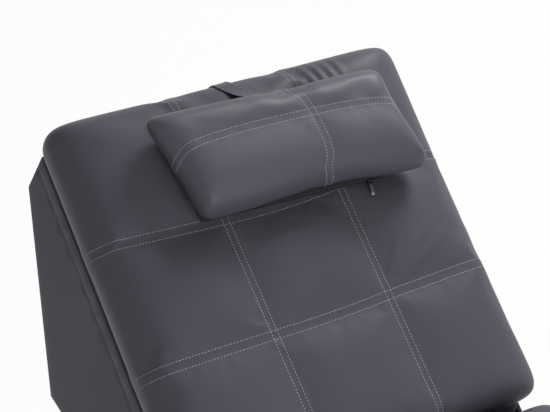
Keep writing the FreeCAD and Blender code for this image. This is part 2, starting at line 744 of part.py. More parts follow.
def build_seat(place):
    """Seat section: pad, base, hinge arms and pins, motor and control box."""
    outer = [("crease_gap + crease_relief", "base_top"), ("crease_gap", "0"),
             ("crease_gap", "base_bottom"), ("seat_front", "base_bottom"), ("seat_front", "base_top")]
    inside = "crease_gap + base_wall"
    front = "seat_front - base_wall"
    hollow = [("hinge_inside", "deck_top"), (inside, "0"), (inside, "base_bottom - past"),
              (front, "base_bottom - past"), (front, "deck_top")]
    reliefs = hinge_reliefs("seat_recline", "0", ("crease_gap - past", "hinge_inside + past"),
                            "seat_arm_face")
    reliefs += hinge_reliefs("seat_knee", "seat_span", (f"{front} - past", "seat_front + past"),
                             "seat_arm_face")
    window = panel_block("panel_window", "tub_clearance", ("-base_half - past", "-seat_rail_face + past"))
    socket = rod("inlet_hole", "x", ("seat_rail_face - past", "base_half + past"),
                 ("inlet_along", "inlet_height"), "inlet_radius + inlet_clearance")
    base_pieces("seat", place, outer, hollow, ["seat_front"], reliefs, [window, socket])
    rows = ("quilt_pitch / 2", "-quilt_pitch / 2")
    node("seat_pad", place, pad_solid("seat_quilt", "seat_pad_setback", "seat_length", rows))
    length = ("hinge_inside", "seat_span - hinge_inside")
    rails = side_rails("seat", "seat_rail_face", length)
    upright = ("dust_top", "deck_bottom")
    ends = []
    for name, low in (("rear", "hinge_inside"), ("fore", "seat_span - hinge_inside - rail_thickness")):
        ends.append(box(f"seat_rail_{name}", ("-short_rail_half", "short_rail_half"),
                        (low, f"{low} + rail_thickness"), upright))
    node("seat_timber_frame", place, cut(rails[-1], window), cut(rails[1], socket), *ends)
    node("seat_deck", place, box("seat_board", ("-base_inner", "base_inner"), ("hinge_inside", front),
                                 ("deck_bottom", "deck_top")))
    cloth = box("seat_cloth", ("-base_inner", "base_inner"), (inside, front), ("base_bottom", "dust_top"))
    node("seat_dust_cover", place, cut(cloth, *bolt_holes("cloth")))
    node("seat_recline_arms", place, *hinge_arms("recline_arm", "0", 1, "seat_arm_face"))
    node("seat_legrest_arms", place, *hinge_arms("knee_arm", "seat_span", -1, "seat_arm_face"))
    node("hinge_pins", place, *hinge_pins("recline_pin", "0"), *hinge_pins("knee_pin", "seat_span"))
    screws = hinge_screws("recline_screw", "0", 1, "seat_arm_face")
    screws += hinge_screws("knee_screw", "seat_span", -1, "seat_arm_face")
    node("seat_hinge_screws", place, *screws)
    case, can, weight = motor_unit("thigh", "thigh_motor_at")
    node("seat_motor_case", place, case)
    node("seat_motor", place, can)
    node("thigh_weight", place, weight)
    x = ("box_across - box_length / 2", "box_across + box_length / 2")
    y = ("box_along - box_width / 2", "box_along + box_width / 2")
    shell = box("control_shell", x, y, ("deck_bottom - box_depth", "deck_bottom"))
    room = box("control_room", (f"{x[0]} + box_wall", f"{x[1]} - box_wall"),
               (f"{y[0]} + box_wall", f"{y[1]} - box_wall"),
               ("deck_bottom - box_depth + box_wall", "deck_bottom + past"))
    node("control_box", place, cut(shell, room))
    node("power_inlet", place, inlet_solid())


def inlet_solid():
    """Round power socket in the seat's side, with its centre contact."""
    centre = ("inlet_along", "inlet_height")
    barrel = rod("inlet_barrel", "x", ("seat_rail_face", "base_half"), centre, "inlet_radius")
    flange = rod("inlet_flange", "x", ("base_half", "base_half + inlet_flange_height"), centre,
                 "inlet_flange_radius")
    mouth = "base_half + inlet_flange_height"
    floor = f"{mouth} - inlet_bore_depth"
    bore = rod("inlet_bore_space", "x", (floor, f"{mouth} + past"), centre, "inlet_bore")
    contact = rod("inlet_contact", "x", (f"{floor} - past", f"{mouth} - past"), centre, "inlet_pin")
    return fuse(cut(fuse(barrel, flange), bore), contact)


def panel_block(name, grow, x):
    """A block on the control panel's centre, as large as its tub plus a margin."""
    half_length = f"(tub_length / 2 + ({grow}))"
    half_width = f"(tub_width / 2 + ({grow}))"
    return box(name, x, (f"panel_along - {half_length}", f"panel_along + {half_length}"),
               (f"panel_height - {half_width}", f"panel_height + {half_width}"))


def build_panel(place):
    """Control panel: bezel with a tub behind it, circuit board with switches, five keys."""
    face = "-base_half"
    plate = box("panel_plate", (f"{face} - panel_thickness", face),
                ("panel_along - panel_length / 2", "panel_along + panel_length / 2"),
                ("panel_height - panel_width / 2", "panel_height + panel_width / 2"))
    tub = panel_block("panel_tub", "0", (f"{face}", f"{face} + tub_depth"))
    room = panel_block("panel_room", "-tub_wall", (face, f"{face} + tub_depth - tub_wall"))
    board_back = f"{face} + board_depth + board_thickness"
    rests = []
    for sign in SIDES:
        edge = f"panel_along + {sign} * (tub_length / 2 - tub_wall)"
        lip = f"panel_along + {sign} * (tub_length / 2 - tub_wall - board_rest)"
        low, high = (edge, lip) if sign < 0 else (lip, edge)
        rests.append(box("panel_rest", (board_back, f"{face} + tub_depth - tub_wall"), (low, high),
                         ("panel_height - tub_width / 2 + past", "panel_height + tub_width / 2 - past")))
    places = {name: f"panel_along + {step} * key_pitch" for name, step in
              zip(("power", "mode", "stronger", "weaker", "timer"), (-2, -1, 0, 1, 2))}
    holes = []
    switches = []
    for name, along in places.items():
        centre = (along, "panel_height")
        holes.append(rod(f"{name}_hole", "x", (f"{face} - panel_thickness - past", f"{face} + 0.5"), centre,
                         "key_radius + key_clearance"))
        switches.append(rod(f"{name}_switch", "x", (f"{face} + board_depth - switch_height",
                                                    f"{face} + board_depth + 0.5"), centre, "switch_radius"))
        cap = rod(f"{name}_cap", "x", (f"{face} - panel_thickness - key_proud", f"{face} + key_depth"),
                  centre, "key_radius")
        flange = rod(f"{name}_flange", "x", (f"{face} + key_clearance",
                                             f"{face} + key_clearance + key_flange_height"), centre,
                     "key_flange_radius")
        node(f"{name}_key", place, fuse(cap, flange))
    node("control_bezel", place, cut(fuse(cut(fuse(plate, tub), room), *rests), *holes))
    board = panel_block("panel_board", "-tub_wall - tub_clearance", (f"{face} + board_depth", board_back))
    node("control_board", place, fuse(board, *switches))


def bolt_holes(name):
    """Clearance holes for the four underframe bolts."""
    holes = []
    for side in SIDES:
        for along in ("bolt_at", "seat_span - bolt_at"):
            holes.append(rod(name + "_hole", "z", ("tube_bottom - past", "dust_top + past"),
                             (f"{side} * tube_across", along), "bolt_radius + bolt_clearance"))
    return holes


def build_underframe(place):
    """Steel rails and cross tubes under the seat, with bolts, legs and glides."""
    rail_y = ("-tube_rear", "seat_span - tube_front")
    leg_y = {"front": "seat_span - leg_front_at", "rear": "-leg_rear_at"}
    top = "tube_bottom"
    glides = []
    caps = []
    for side in SIDES:
        hand = "right" if side < 0 else "left"
        low = f"{side} * tube_across - tube_width / 2"
        high = f"{side} * tube_across + tube_width / 2"
        outer = box(f"rail_{hand}", (low, high), rail_y, ("tube_bottom", "base_bottom"))
        inner = box(f"rail_{hand}_room", (f"{low} + tube_wall", f"{high} - tube_wall"),
                    (f"{rail_y[0]} - past", f"{rail_y[1]} + past"),
                    ("tube_bottom + tube_wall", "base_bottom - tube_wall"))
        holes = [hole for hole in bolt_holes(f"rail_{hand}")]
        for end, along in leg_y.items():
            centre = (f"{side} * tube_across", along)
            mark = f"leg_{end}_{hand}"
            holes.append(rod(mark + "_hole", "z", (f"{top} - past", f"{top} + tube_wall + past"), centre,
                             "stud_radius + stud_clearance"))
            post = rod(mark, "z", (f"{top} - leg_height", top), centre, "leg_radius")
            bore = rod(mark + "_bore", "z", (f"{top} - leg_height - past", f"{top} - leg_cap"), centre,
                       "leg_radius - leg_wall")
            stud = rod(mark + "_stud", "z", (f"{top} - past", f"{top} + stud_length"), centre, "stud_radius")
            node(f"chair_leg_{end}_{hand}", place, fuse(cut(post, bore), stud))
            heel = f"{top} - leg_height"
            foot = rod(mark + "_foot", "z", (f"{heel} - glide_height", heel), centre, "glide_radius")
            spigot = rod(mark + "_spigot", "z", (f"{heel} - past", f"{heel} + glide_spigot"), centre,
                         "leg_radius - leg_wall - glide_fit")
            glides.append(fuse(foot, spigot))
        node(f"underframe_rail_{hand}", place, cut(outer, inner, *holes))
        rear, front = rail_y
        margin = "tube_wall + cap_fit"
        for end, lid, plug in (
            ("rear", (f"{rear} - cap_thickness", rear), (f"{rear} - past", f"{rear} + cap_plug")),
            ("front", (front, f"{front} + cap_thickness"), (f"{front} - cap_plug", f"{front} + past")),
        ):
            lid_block = box(f"cap_{end}_{hand}", (low, high), lid, ("tube_bottom", "base_bottom"))
            plug_block = box(f"cap_{end}_{hand}_plug", (f"{low} + {margin}", f"{high} - ({margin})"), plug,
                             (f"tube_bottom + {margin}", f"base_bottom - ({margin})"))
            caps.append(fuse(lid_block, plug_block))
    node("floor_glides", place, *glides)
    node("rail_end_caps", place, *caps)
    reach = "tube_across - tube_width / 2"
    tubes = []
    for end, along in (("rear", "-cross_rear_at"), ("front", "seat_span - cross_front_at")):
        y = (f"{along} - cross_width / 2", f"{along} + cross_width / 2")
        z = ("tube_bottom + (tube_height - cross_height) / 2",
             "tube_bottom + (tube_height + cross_height) / 2")
        bar = box(f"cross_{end}", (f"-({reach})", reach), y, z)
        room = box(f"cross_{end}_room", (f"-({reach}) - past", f"{reach} + past"),
                   (f"{y[0]} + tube_wall", f"{y[1]} - tube_wall"),
                   (f"{z[0]} + tube_wall", f"{z[1]} - tube_wall"))
        tubes.append(cut(bar, room))
    node("underframe_cross_tubes", place, *tubes)
    bolts = []
    for side in SIDES:
        for along in ("bolt_at", "seat_span - bolt_at"):
            centre = (f"{side} * tube_across", along)
            head = rod("bolt_head", "z", ("tube_bottom - bolt_head_height", "tube_bottom"), centre,
                       "bolt_head_radius")
            shank = rod("bolt_shank", "z", ("tube_bottom - past", "dust_top + bolt_bite"), centre,
                        "bolt_radius")
            bolts.append(fuse(head, shank))
    node("frame_bolts", place, *bolts)


def leaning(along, height):
    """Where a point of the back section lies in the seat's side view."""
    return (f"({height}) * lean_rise - ({along}) * lean_run", f"({along}) * lean_rise + ({height}) * lean_run")


def build_shell(place):
    """Upholstered body that the back lies in: two cheeks and a rear panel round a floor board."""
    outline = [leaning("shell_start", "shell_top"), leaning("backrest_end", "shell_top"),
               leaning("backrest_end", "base_bottom"), ("-shell_rear", "tube_bottom"),
               ("-shell_front", "tube_bottom")]
    across = ("-shell_inner", "shell_inner")
    rear = "shell_thickness - shell_rear"
    panels = [box("rear_panel", across, ("-shell_rear", rear), ("tube_bottom", "shell_rear_top"))]
    for side in SIDES:
        panels.append(prism(f"cheek_{'left' if side < 0 else 'right'}", "YZ_Plane", outline,
                            on_side(side, "shell_inner", "shell_outer")))
    node("body_shell", place, *panels)
    node("body_floor", place, box("floor_board", across, (rear, "-shell_front"),
                                  ("base_bottom", "base_bottom + shell_floor")))


def build_legrest(place):
    """Leg section: pad, mitred base, hinge arms and motor."""
    outer = [("crease_gap", "base_top"), ("crease_gap", "-legrest_mitre_start"),
             ("crease_gap + legrest_mitre", "base_bottom"), ("legrest_end", "base_bottom"),
             ("legrest_end", "base_top")]
    inside = "crease_gap + base_wall"
    end = "legrest_end - base_wall"
    hollow = [(inside, "deck_top"), (inside, "-legrest_mitre_start"),
              (f"{inside} + legrest_mitre", "base_bottom - past"), (end, "base_bottom - past"),
              (end, "deck_top")]
    wall = ("crease_gap - past", f"{inside} + past")
    reliefs = hinge_reliefs("legrest_hinge", "0", wall, "moving_arm_face")
    base_pieces("legrest", place, outer, hollow, ["legrest_end"], reliefs, [])
    node("legrest_pad", place, pad_solid("legrest_quilt", "legrest_pad_setback", "legrest_length", ("0",)))
    start = f"{inside} + short_rail_setback"
    lean_start = f"{inside} + legrest_mitre + base_wall"
    upright = ("dust_top", "deck_bottom")
    rails = []
    for side in SIDES:
        outline = [(start, "deck_bottom"), (start, "-legrest_mitre_start"), (lean_start, "dust_top"),
                   (end, "dust_top"), (end, "deck_bottom")]
        rails.append(prism(f"legrest_rail_{'left' if side < 0 else 'right'}", "YZ_Plane", outline,
                           on_side(side, "moving_rail_face", "base_inner")))
    near = box("legrest_rail_near", ("-short_rail_half", "short_rail_half"),
               (start, f"{start} + rail_thickness"), ("deck_bottom - short_rail_drop", "deck_bottom"))
    far = box("legrest_rail_far", ("-moving_rail_face", "moving_rail_face"),
              (f"{end} - rail_thickness", end), upright)
    node("legrest_timber_frame", place, *rails, near, far)
    node("legrest_deck", place, box("legrest_board", ("-base_inner", "base_inner"), (inside, end),
                                    ("deck_bottom", "deck_top")))
    node("legrest_dust_cover", place, box("legrest_cloth", ("-base_inner", "base_inner"), (lean_start, end),
                                          ("base_bottom", "dust_top")))
    node("legrest_hinge_arms", place, *hinge_arms("legrest_arm", "0", 1, "moving_arm_face"))
    node("legrest_hinge_screws", place, *hinge_screws("legrest_screw", "0", 1, "moving_arm_face"))
    case, can, weight = motor_unit("calf", "calf_motor_at")
    node("legrest_motor_case", place, case)
    node("legrest_motor", place, can)
    node("calf_weight", place, weight)


def build_pillow(place):
    """Head pillow with its two sewn bands, and the zip along its lower edge."""
    half = "pillow_half"
    end = "pillow_half - pillow_foot_inset"
    roll = "pillow_half - pillow_end_roll"
    seam = ("pillow_seam_shift + pillow_band / 2", "pillow_seam_shift - pillow_band / 2")
    crest = "pillow_height + pillow_crown"
    along = [
        (f"-({end})", "0"),
        (end, "0", half, "pillow_end_height"),
        (roll, "pillow_shoulder", f"(({roll}) + ({seam[0]})) / 2", crest),
        (seam[0], "pillow_height"),
        (seam[1], "pillow_height", f"(({seam[1]}) - ({roll})) / 2", crest),
        (f"-({roll})", "pillow_shoulder", f"-({half})", "pillow_end_height"),
    ]
    band = "pillow_band / 2"
    across = [
        ("zip_face + pillow_foot_inset / 2", "0"),
        ("pillow_back - pillow_foot_inset", "0", "pillow_back", "pillow_back_height / 2"),
        ("pillow_back - zip_face_inset", "pillow_back_height",
         "pillow_back / 2", "pillow_height - pillow_crown"),
        (band, "pillow_height"),
        (f"-({band})", "pillow_height", "-pillow_front * pillow_slope_run",
         "pillow_height * pillow_slope_rise"),
        ("-pillow_front", "pillow_overhang_height"),
        ("zip_face", "zip_face_high"),
        ("zip_face", "zip_face_low"),
    ]
    plan = drawn_in(half, "-pillow_front", "pillow_back", "pillow_corner", "pillow_side_pull", "pillow_slant")
    depth = ("-pillow_front - past", "pillow_back + past")
    body = common(prism("pillow_along_cut", "XZ_Plane", along, depth, "pillow_slant"),
                  prism("pillow_across_cut", "YZ_Plane", across, ("-pillow_length", "pillow_length")),
                  prism("pillow_plan_cut", "XY_Plane", plan, ("-1", f"{crest} + past")))
    node("pillow", place, body)
    low = "chain_height - chain_width / 2"
    high = "chain_height + chain_width / 2"
    node("zip_chain", place, box("chain_strip", ("chain_start", "chain_end"), ("chain_face", "zip_face"),
                                 (low, high)))
    edge = "slider_length / 2"
    x = (f"slider_at - {edge}", f"slider_at + {edge}")
    shell = box("slider_shell", x, ("slider_face", "zip_face - slider_play"),
                (f"{low} - slider_play - slider_wall", f"{high} + slider_play + slider_wall"))
    track = box("slider_track", (f"{x[0]} - past", f"{x[1]} + past"),
                ("chain_face - slider_play", "zip_face + past"),
                (f"{low} - slider_play", f"{high} + slider_play"))
    bail_y = "slider_face - bail_reach"
    ears = []
    for name, (near, far) in (("left", (x[0], f"{x[0]} + ear_thickness")),
                              ("right", (f"{x[1]} - ear_thickness", x[1]))):
        ears.append(box(f"slider_ear_{name}", (near, far), (f"{bail_y} - bail_radius", "slider_face + 0.5"),
                        ("chain_height - bail_radius", "chain_height + bail_radius")))
    bail = rod("slider_bail", "x", x, (bail_y, "chain_height"), "bail_radius")
    node("zip_slider", place, fuse(cut(shell, track), bail, *ears))
    spot = Vector(value("slider_at"), value(bail_y), value("chain_height"))
    hang = FreeCAD.Placement(spot, FreeCAD.Rotation(Vector(1, 0, 0), value("pull_angle")))
    eye_half = f"{edge} - ear_thickness - pull_eye_play"
    eye = rod("pull_eye", "x", (f"-({eye_half})", eye_half), ("0", "0"), "pull_eye_radius")
    tab = box("pull_tab", ("-pull_width / 2", "pull_width / 2"), ("-pull_length", "-pull_tab_start"),
              ("-pull_thickness / 2", "pull_thickness / 2"))
    hole = rod("pull_hole", "x", (f"-({eye_half}) - past", f"{eye_half} + past"), ("0", "0"),
               "bail_radius + bail_fit")
    node("zip_pull", place.multiply(hang), cut(fuse(eye, tab), hole))


def check_and_write():
    """Stop on any failed object or bad shape, then write one file per sub-part."""
    failed = [item.Name for item in DOC.Objects if {"Invalid", "Error"} & set(item.State)]
    for name, group in NODES.items():
        shape = group.Shape
        if shape.isNull() or not shape.isValid() or not shape.Solids:
            failed.append(name)
        elif any(solid.Volume <= 0 for solid in shape.Solids):
            failed.append(name)
    if failed:
        raise RuntimeError("failed objects: " + ", ".join(failed))
    os.makedirs("parts", exist_ok=True)
    for name, group in NODES.items():
        group.Shape.exportStep(f"parts/{name}.step")


fill_sheet()
backrest_place, seat_place, legrest_place, pillow_place = section_places()
build_backrest(backrest_place)
build_strap(backrest_place)
build_seat(seat_place)
build_panel(seat_place)
build_underframe(seat_place)
build_shell(seat_place)
build_legrest(legrest_place)
build_pillow(pillow_place)
DOC.recompute()
check_and_write()
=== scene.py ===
"""Looks of a quilted massage lounge chair: upholstery, sewing, fittings, light and camera."""

import json
import logging
import math
from bisect import bisect_right
from dataclasses import dataclass
from enum import Enum
from functools import cached_property, partial
from typing import Callable, Optional, Sequence, Union

import bmesh
import bpy
from mathutils import Matrix, Vector, noise
from mathutils.bvhtree import BVHTree


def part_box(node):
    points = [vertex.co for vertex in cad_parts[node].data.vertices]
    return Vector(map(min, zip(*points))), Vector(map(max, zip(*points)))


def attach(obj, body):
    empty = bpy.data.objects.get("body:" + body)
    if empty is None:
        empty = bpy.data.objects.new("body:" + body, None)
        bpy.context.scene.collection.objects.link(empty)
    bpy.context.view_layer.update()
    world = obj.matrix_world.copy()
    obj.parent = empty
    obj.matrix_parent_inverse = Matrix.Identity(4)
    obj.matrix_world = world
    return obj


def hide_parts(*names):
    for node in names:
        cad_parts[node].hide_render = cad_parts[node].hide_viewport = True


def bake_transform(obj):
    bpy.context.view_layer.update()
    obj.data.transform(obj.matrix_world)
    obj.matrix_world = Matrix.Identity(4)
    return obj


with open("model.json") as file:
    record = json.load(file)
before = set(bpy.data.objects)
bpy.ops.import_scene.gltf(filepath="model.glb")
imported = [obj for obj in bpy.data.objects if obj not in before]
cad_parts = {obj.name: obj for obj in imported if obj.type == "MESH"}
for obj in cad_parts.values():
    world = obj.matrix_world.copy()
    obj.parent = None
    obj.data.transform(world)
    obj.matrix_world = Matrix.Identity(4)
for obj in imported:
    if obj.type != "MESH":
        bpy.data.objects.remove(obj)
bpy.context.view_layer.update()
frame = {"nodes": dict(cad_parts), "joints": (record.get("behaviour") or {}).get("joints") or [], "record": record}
LOG = logging.getLogger("lounge_chair")
UP = Vector((0.0, 0.0, 1.0))
HAIR = 1e-5
FLAT_ANGLE = math.radians(1.0)
SHARP_ANGLE = math.radians(40.0)
WHITE = (1.0, 1.0, 1.0, 1.0)
FILLING_FRAMES = 20

Colour = tuple[float, float, float]


class Signal:
    """A shader socket that carries one number; arithmetic on it adds Math nodes."""

    def __init__(self, board: "Board", socket: bpy.types.NodeSocket) -> None:
        """Keep the socket and the board that it is on."""
        self.board = board
        self.socket = socket

    def _math(self, operation: str, first: "Wire", second: "Wire") -> "Signal":
        """Add one Math node.

        Args:
            operation: the node's operation.
            first: what goes into its first socket.
            second: what goes into its second socket.

        Returns:
            The result as a new signal.
        """
        node = self.board.add("ShaderNodeMath", {"operation": operation}, {0: first, 1: second})
        return Signal(self.board, node.outputs[0])

    def __add__(self, other: "Wire") -> "Signal":
        """Sum of two signals."""
        return self._math("ADD", self, other)

    def __radd__(self, other: "Wire") -> "Signal":
        """Sum with a plain number on the left."""
        return self._math("ADD", other, self)

    def __sub__(self, other: "Wire") -> "Signal":
        """Difference of two signals."""
        return self._math("SUBTRACT", self, other)

    def __rsub__(self, other: "Wire") -> "Signal":
        """Difference from a plain number on the left."""
        return self._math("SUBTRACT", other, self)

    def __mul__(self, other: "Wire") -> "Signal":
        """Product of two signals."""
        return self._math("MULTIPLY", self, other)

    def __rmul__(self, other: "Wire") -> "Signal":
        """Product with a plain number on the left."""
        return self._math("MULTIPLY", other, self)

    def __gt__(self, other: "Wire") -> "Signal":
        """One where the signal is above a level, zero elsewhere."""
        return self._math("GREATER_THAN", self, other)


Wire = Union[Signal, bpy.types.NodeSocket, float, Sequence[float]]


class Board:
    """The node board of a material or of the world."""

    def __init__(self, owner: Union[bpy.types.Material, bpy.types.World]) -> None:
        """Start with an empty board."""
        owner.use_nodes = True
        self.owner = owner
        self.tree = owner.node_tree
        self.tree.nodes.clear()

    @cached_property
    def place(self) -> bpy.types.NodeSocket:
        """The object's own coordinates."""
        return self.add("ShaderNodeTexCoord").outputs["Object"]

    def add(self, kind: str, settings: Optional[dict] = None, wires: Optional[dict] = None) -> bpy.types.Node:
        """Add a node.

        Args:
            kind: the node's type.
            settings: its own settings, set before its sockets.
            wires: values or links for its sockets, by name or number.

        Returns:
            The new node.
        """
        node = self.tree.nodes.new(kind)
        for key, value in (settings or {}).items():
            setattr(node, key, value)
        for key, value in (wires or {}).items():
            socket = node.inputs[key]
            if isinstance(value, Signal):
                value = value.socket
            if isinstance(value, bpy.types.NodeSocket):
                self.tree.links.new(value, socket)
            else:
                socket.default_value = value
        return node

    def stretched(self, scale: Sequence[float]) -> bpy.types.NodeSocket:
        """Object coordinates scaled by three numbers."""
        return self.add("ShaderNodeMapping", None, {"Vector": self.place, "Scale": scale}).outputs[0]

    def cloud(self, scale: float, detail: float = 2.0, stretch: Optional[Sequence[float]] = None) -> Signal:
        """Soft noise from 0 to 1.

        Args:
            scale: cells in a metre.
            detail: finer layers.
            stretch: scale of each direction, where they differ.

        Returns:
            The noise as a signal.
        """
        where = self.stretched(stretch) if stretch else self.place
        wires = {"Vector": where, "Scale": scale, "Detail": detail}
        return Signal(self, self.add("ShaderNodeTexNoise", None, wires).outputs[0])

    def cells(self, scale: float) -> Signal:
        """Rounded cells, as in leather grain.

        Args:
            scale: cells in a metre.

        Returns:
            The distance from each cell's middle as a signal.
        """
        wires = {"Vector": self.place, "Scale": scale}
        settings = {"feature": "SMOOTH_F1"}
        return Signal(self, self.add("ShaderNodeTexVoronoi", settings, wires).outputs["Distance"])

    def rings(self, scale: float, stretch: Sequence[float]) -> Signal:
        """Wavy bands, as in sawn wood.

        Args:
            scale: bands in a metre.
            stretch: scale of each direction.

        Returns:
            The bands as a signal.
        """
        wires = {"Vector": self.stretched(stretch), "Scale": scale, "Distortion": 6.0, "Detail": 3.0}
        return Signal(self, self.add("ShaderNodeTexWave", None, wires).outputs["Fac"])

    def tint(self, share: Signal, dark: Colour, light: Colour) -> bpy.types.NodeSocket:
        """Mix two colours.

        Args:
            share: 0 for the dark colour, 1 for the light one.
            dark: the first colour.
            light: the second colour.

        Returns:
            The mixed colour's socket.
        """
        wires = {0: share, 6: (*dark, 1.0), 7: (*light, 1.0)}
        return self.add("ShaderNodeMix", {"data_type": "RGBA"}, wires).outputs[2]

    def relief(self, height: Signal, depth: float, strength: float = 1.0) -> bpy.types.NodeSocket:
        """Raise a surface by a signal.

        Args:
            height: the signal, from 0 to 1.
            depth: the height of 1, in metres.
            strength: how much of it shows.

        Returns:
            The bumped normal's socket.
        """
        wires = {"Height": height, "Distance": depth, "Strength": strength}
        return self.add("ShaderNodeBump", None, wires).outputs[0]

    def surface(self, wires: dict) -> bpy.types.Material:
        """Close the board with a Principled shader.

        Args:
            wires: values or links for the shader's sockets.

        Returns:
            The finished material.
        """
        shader = self.add("ShaderNodeBsdfPrincipled", None, wires)
        self.add("ShaderNodeOutputMaterial", None, {"Surface": shader.outputs[0]})
        return self.owner

    def seen(self) -> Signal:
        """One where the camera, a reflection or glass looks, zero for light that falls on things.

        Returns:
            The signal.
        """
        rays = self.add("ShaderNodeLightPath").outputs
        names = ("Is Camera Ray", "Is Glossy Ray", "Is Transmission Ray")
        camera, glossy, glass = (Signal(self, rays[name]) for name in names)
        return camera + glossy + glass


@dataclass(frozen=True)
class Finish:
    """A finish with its colour and gloss; each kind builds its own material."""

    name: str
    colour: Colour
    roughness: float

    def shade(self, factor: float) -> Colour:
        """The finish's colour, made darker or lighter."""
        return tuple(channel * factor for channel in self.colour)

    def board(self) -> Board:
        """An empty node board for the finish's material."""
        return Board(bpy.data.materials.new(self.name))

    def build(self) -> bpy.types.Material:
        """Make the material."""
        raise NotImplementedError


@dataclass(frozen=True)
class FauxLeather(Finish):
    """Embossed upholstery leather with a satin face."""

    gloss: float = 0.17
    grain: float = 620.0
    depth: float = 0.00022
    patch: float = 7.0
    pore: float = 1612.0

    def build(self) -> bpy.types.Material:
        """Make the material: pebble grain, pores and slow changes of shade."""
        board = self.board()
        patches = board.cloud(self.patch, 3.0)
        pebbles = board.cells(self.grain)
        pores = board.cloud(self.pore, 2.0)
        worn = patches * 0.7 + pebbles * 0.5
        return board.surface({
            "Base Color": board.tint(worn, self.shade(1.08), self.shade(0.9)),
            "Roughness": self.roughness - 0.06 + patches * 0.08 + pebbles * 0.1,
            "Normal": board.relief(pores * 0.35 - pebbles, self.depth, 0.6),
            "Specular IOR Level": self.gloss,
        })


@dataclass(frozen=True)
class Thread(Finish):
    """Twisted sewing thread."""

    stain: float = 260.0
    strand: float = 2600.0

    def build(self) -> bpy.types.Material:
        """Make the material: uneven dye and a fuzzy ply."""
        board = self.board()
        dye = board.cloud(self.stain, 2.0)
        ply = board.cloud(self.strand, 1.0)
        return board.surface({
            "Base Color": board.tint(dye, self.shade(0.82), self.shade(1.12)),
            "Roughness": self.roughness - 0.05 + dye * 0.1,
            "Normal": board.relief(ply, 0.0002, 0.6),
            "Sheen Weight": 0.15,
        })


@dataclass(frozen=True)
class SpunCloth(Finish):
    """Thin felted cloth, as on the underside of furniture."""

    fibre: float = 900.0
    dot: float = 330.0

    def build(self) -> bpy.types.Material:
        """Make the material: pressed dots in matted fibres."""
        board = self.board()
        fibres = board.cloud(self.fibre, 4.0)
        dots = board.cells(self.dot)
        return board.surface({
            "Base Color": board.tint(fibres, self.shade(0.7), self.shade(1.5)),
            "Roughness": self.roughness - 0.05 + fibres * 0.1,
            "Normal": board.relief(fibres + dots * 0.6, 0.0003, 0.7),
        })


@dataclass(frozen=True)
class Metal(Finish):
    """Bare or plated metal."""

    streak: float = 0.0
    mottle: float = 0.08
    patch: float = 35.0
    line: float = 90.0
    drawn: tuple[float, float, float] = (30.0, 1.0, 30.0)

    def build(self) -> bpy.types.Material:
        """Make the material: a plated face with faint patches and drawing marks."""
        board = self.board()
        patches = board.cloud(self.patch, 3.0)
        lines = board.cloud(self.line, 2.0, self.drawn)
        return board.surface({
            "Base Color": board.tint(patches, self.shade(0.92), self.shade(1.04)),
            "Roughness": self.roughness + patches * self.mottle + lines * self.streak,
            "Metallic": 1.0,
            "Normal": board.relief(lines, 0.00004, self.streak),
        })


@dataclass(frozen=True)
class Coating(Finish):
    """Powder paint or moulded plastic with a fine orange-peel face."""

    peel: float = 480.0
    depth: float = 0.00012
    dusting: float = 14.0

    def build(self) -> bpy.types.Material:
        """Make the material: fine relief, dusty patches and a steady gloss."""
        board = self.board()
        peel = board.cloud(self.peel, 2.0)
        dust = board.cloud(self.dusting, 4.0)
        return board.surface({
            "Base Color": board.tint(dust, self.shade(0.85), self.shade(1.2)),
            "Roughness": self.roughness - 0.04 + dust * 0.1,
            "Normal": board.relief(peel, self.depth, 0.5),
        })


@dataclass(frozen=True)
class Wood(Finish):
    """Sawn timber or a veneered board."""

    bands: float = 24.0
    pore: float = 240.0
    band_stretch: tuple[float, float, float] = (1.0, 0.08, 1.0)
    pore_stretch: tuple[float, float, float] = (1.0, 0.06, 1.0)

    def build(self) -> bpy.types.Material:
        """Make the material: growth bands along the length, and pores."""
        board = self.board()
        bands = board.rings(self.bands, self.band_stretch)
        pores = board.cloud(self.pore, 3.0, self.pore_stretch)
        figure = bands * 0.65 + pores * 0.35
        return board.surface({
            "Base Color": board.tint(figure, self.shade(0.66), self.shade(1.15)),
            "Roughness": self.roughness + pores * 0.15,
            "Normal": board.relief(pores, 0.0003, 0.5),
        })


@dataclass(frozen=True)
class CircuitBoard(Finish):
    """Lacquered circuit board."""

    track: float = 160.0
    track_from: float = 0.42

    def build(self) -> bpy.types.Material:
        """Make the material: copper tracks that shine through green lacquer."""
        board = self.board()
        tracks = board.cells(self.track) > self.track_from
        return board.surface({
            "Base Color": board.tint(tracks, self.colour, self.shade(1.9)),
            "Roughness": self.roughness + tracks * 0.1,
            "Normal": board.relief(tracks, 0.00005, 0.5),
        })


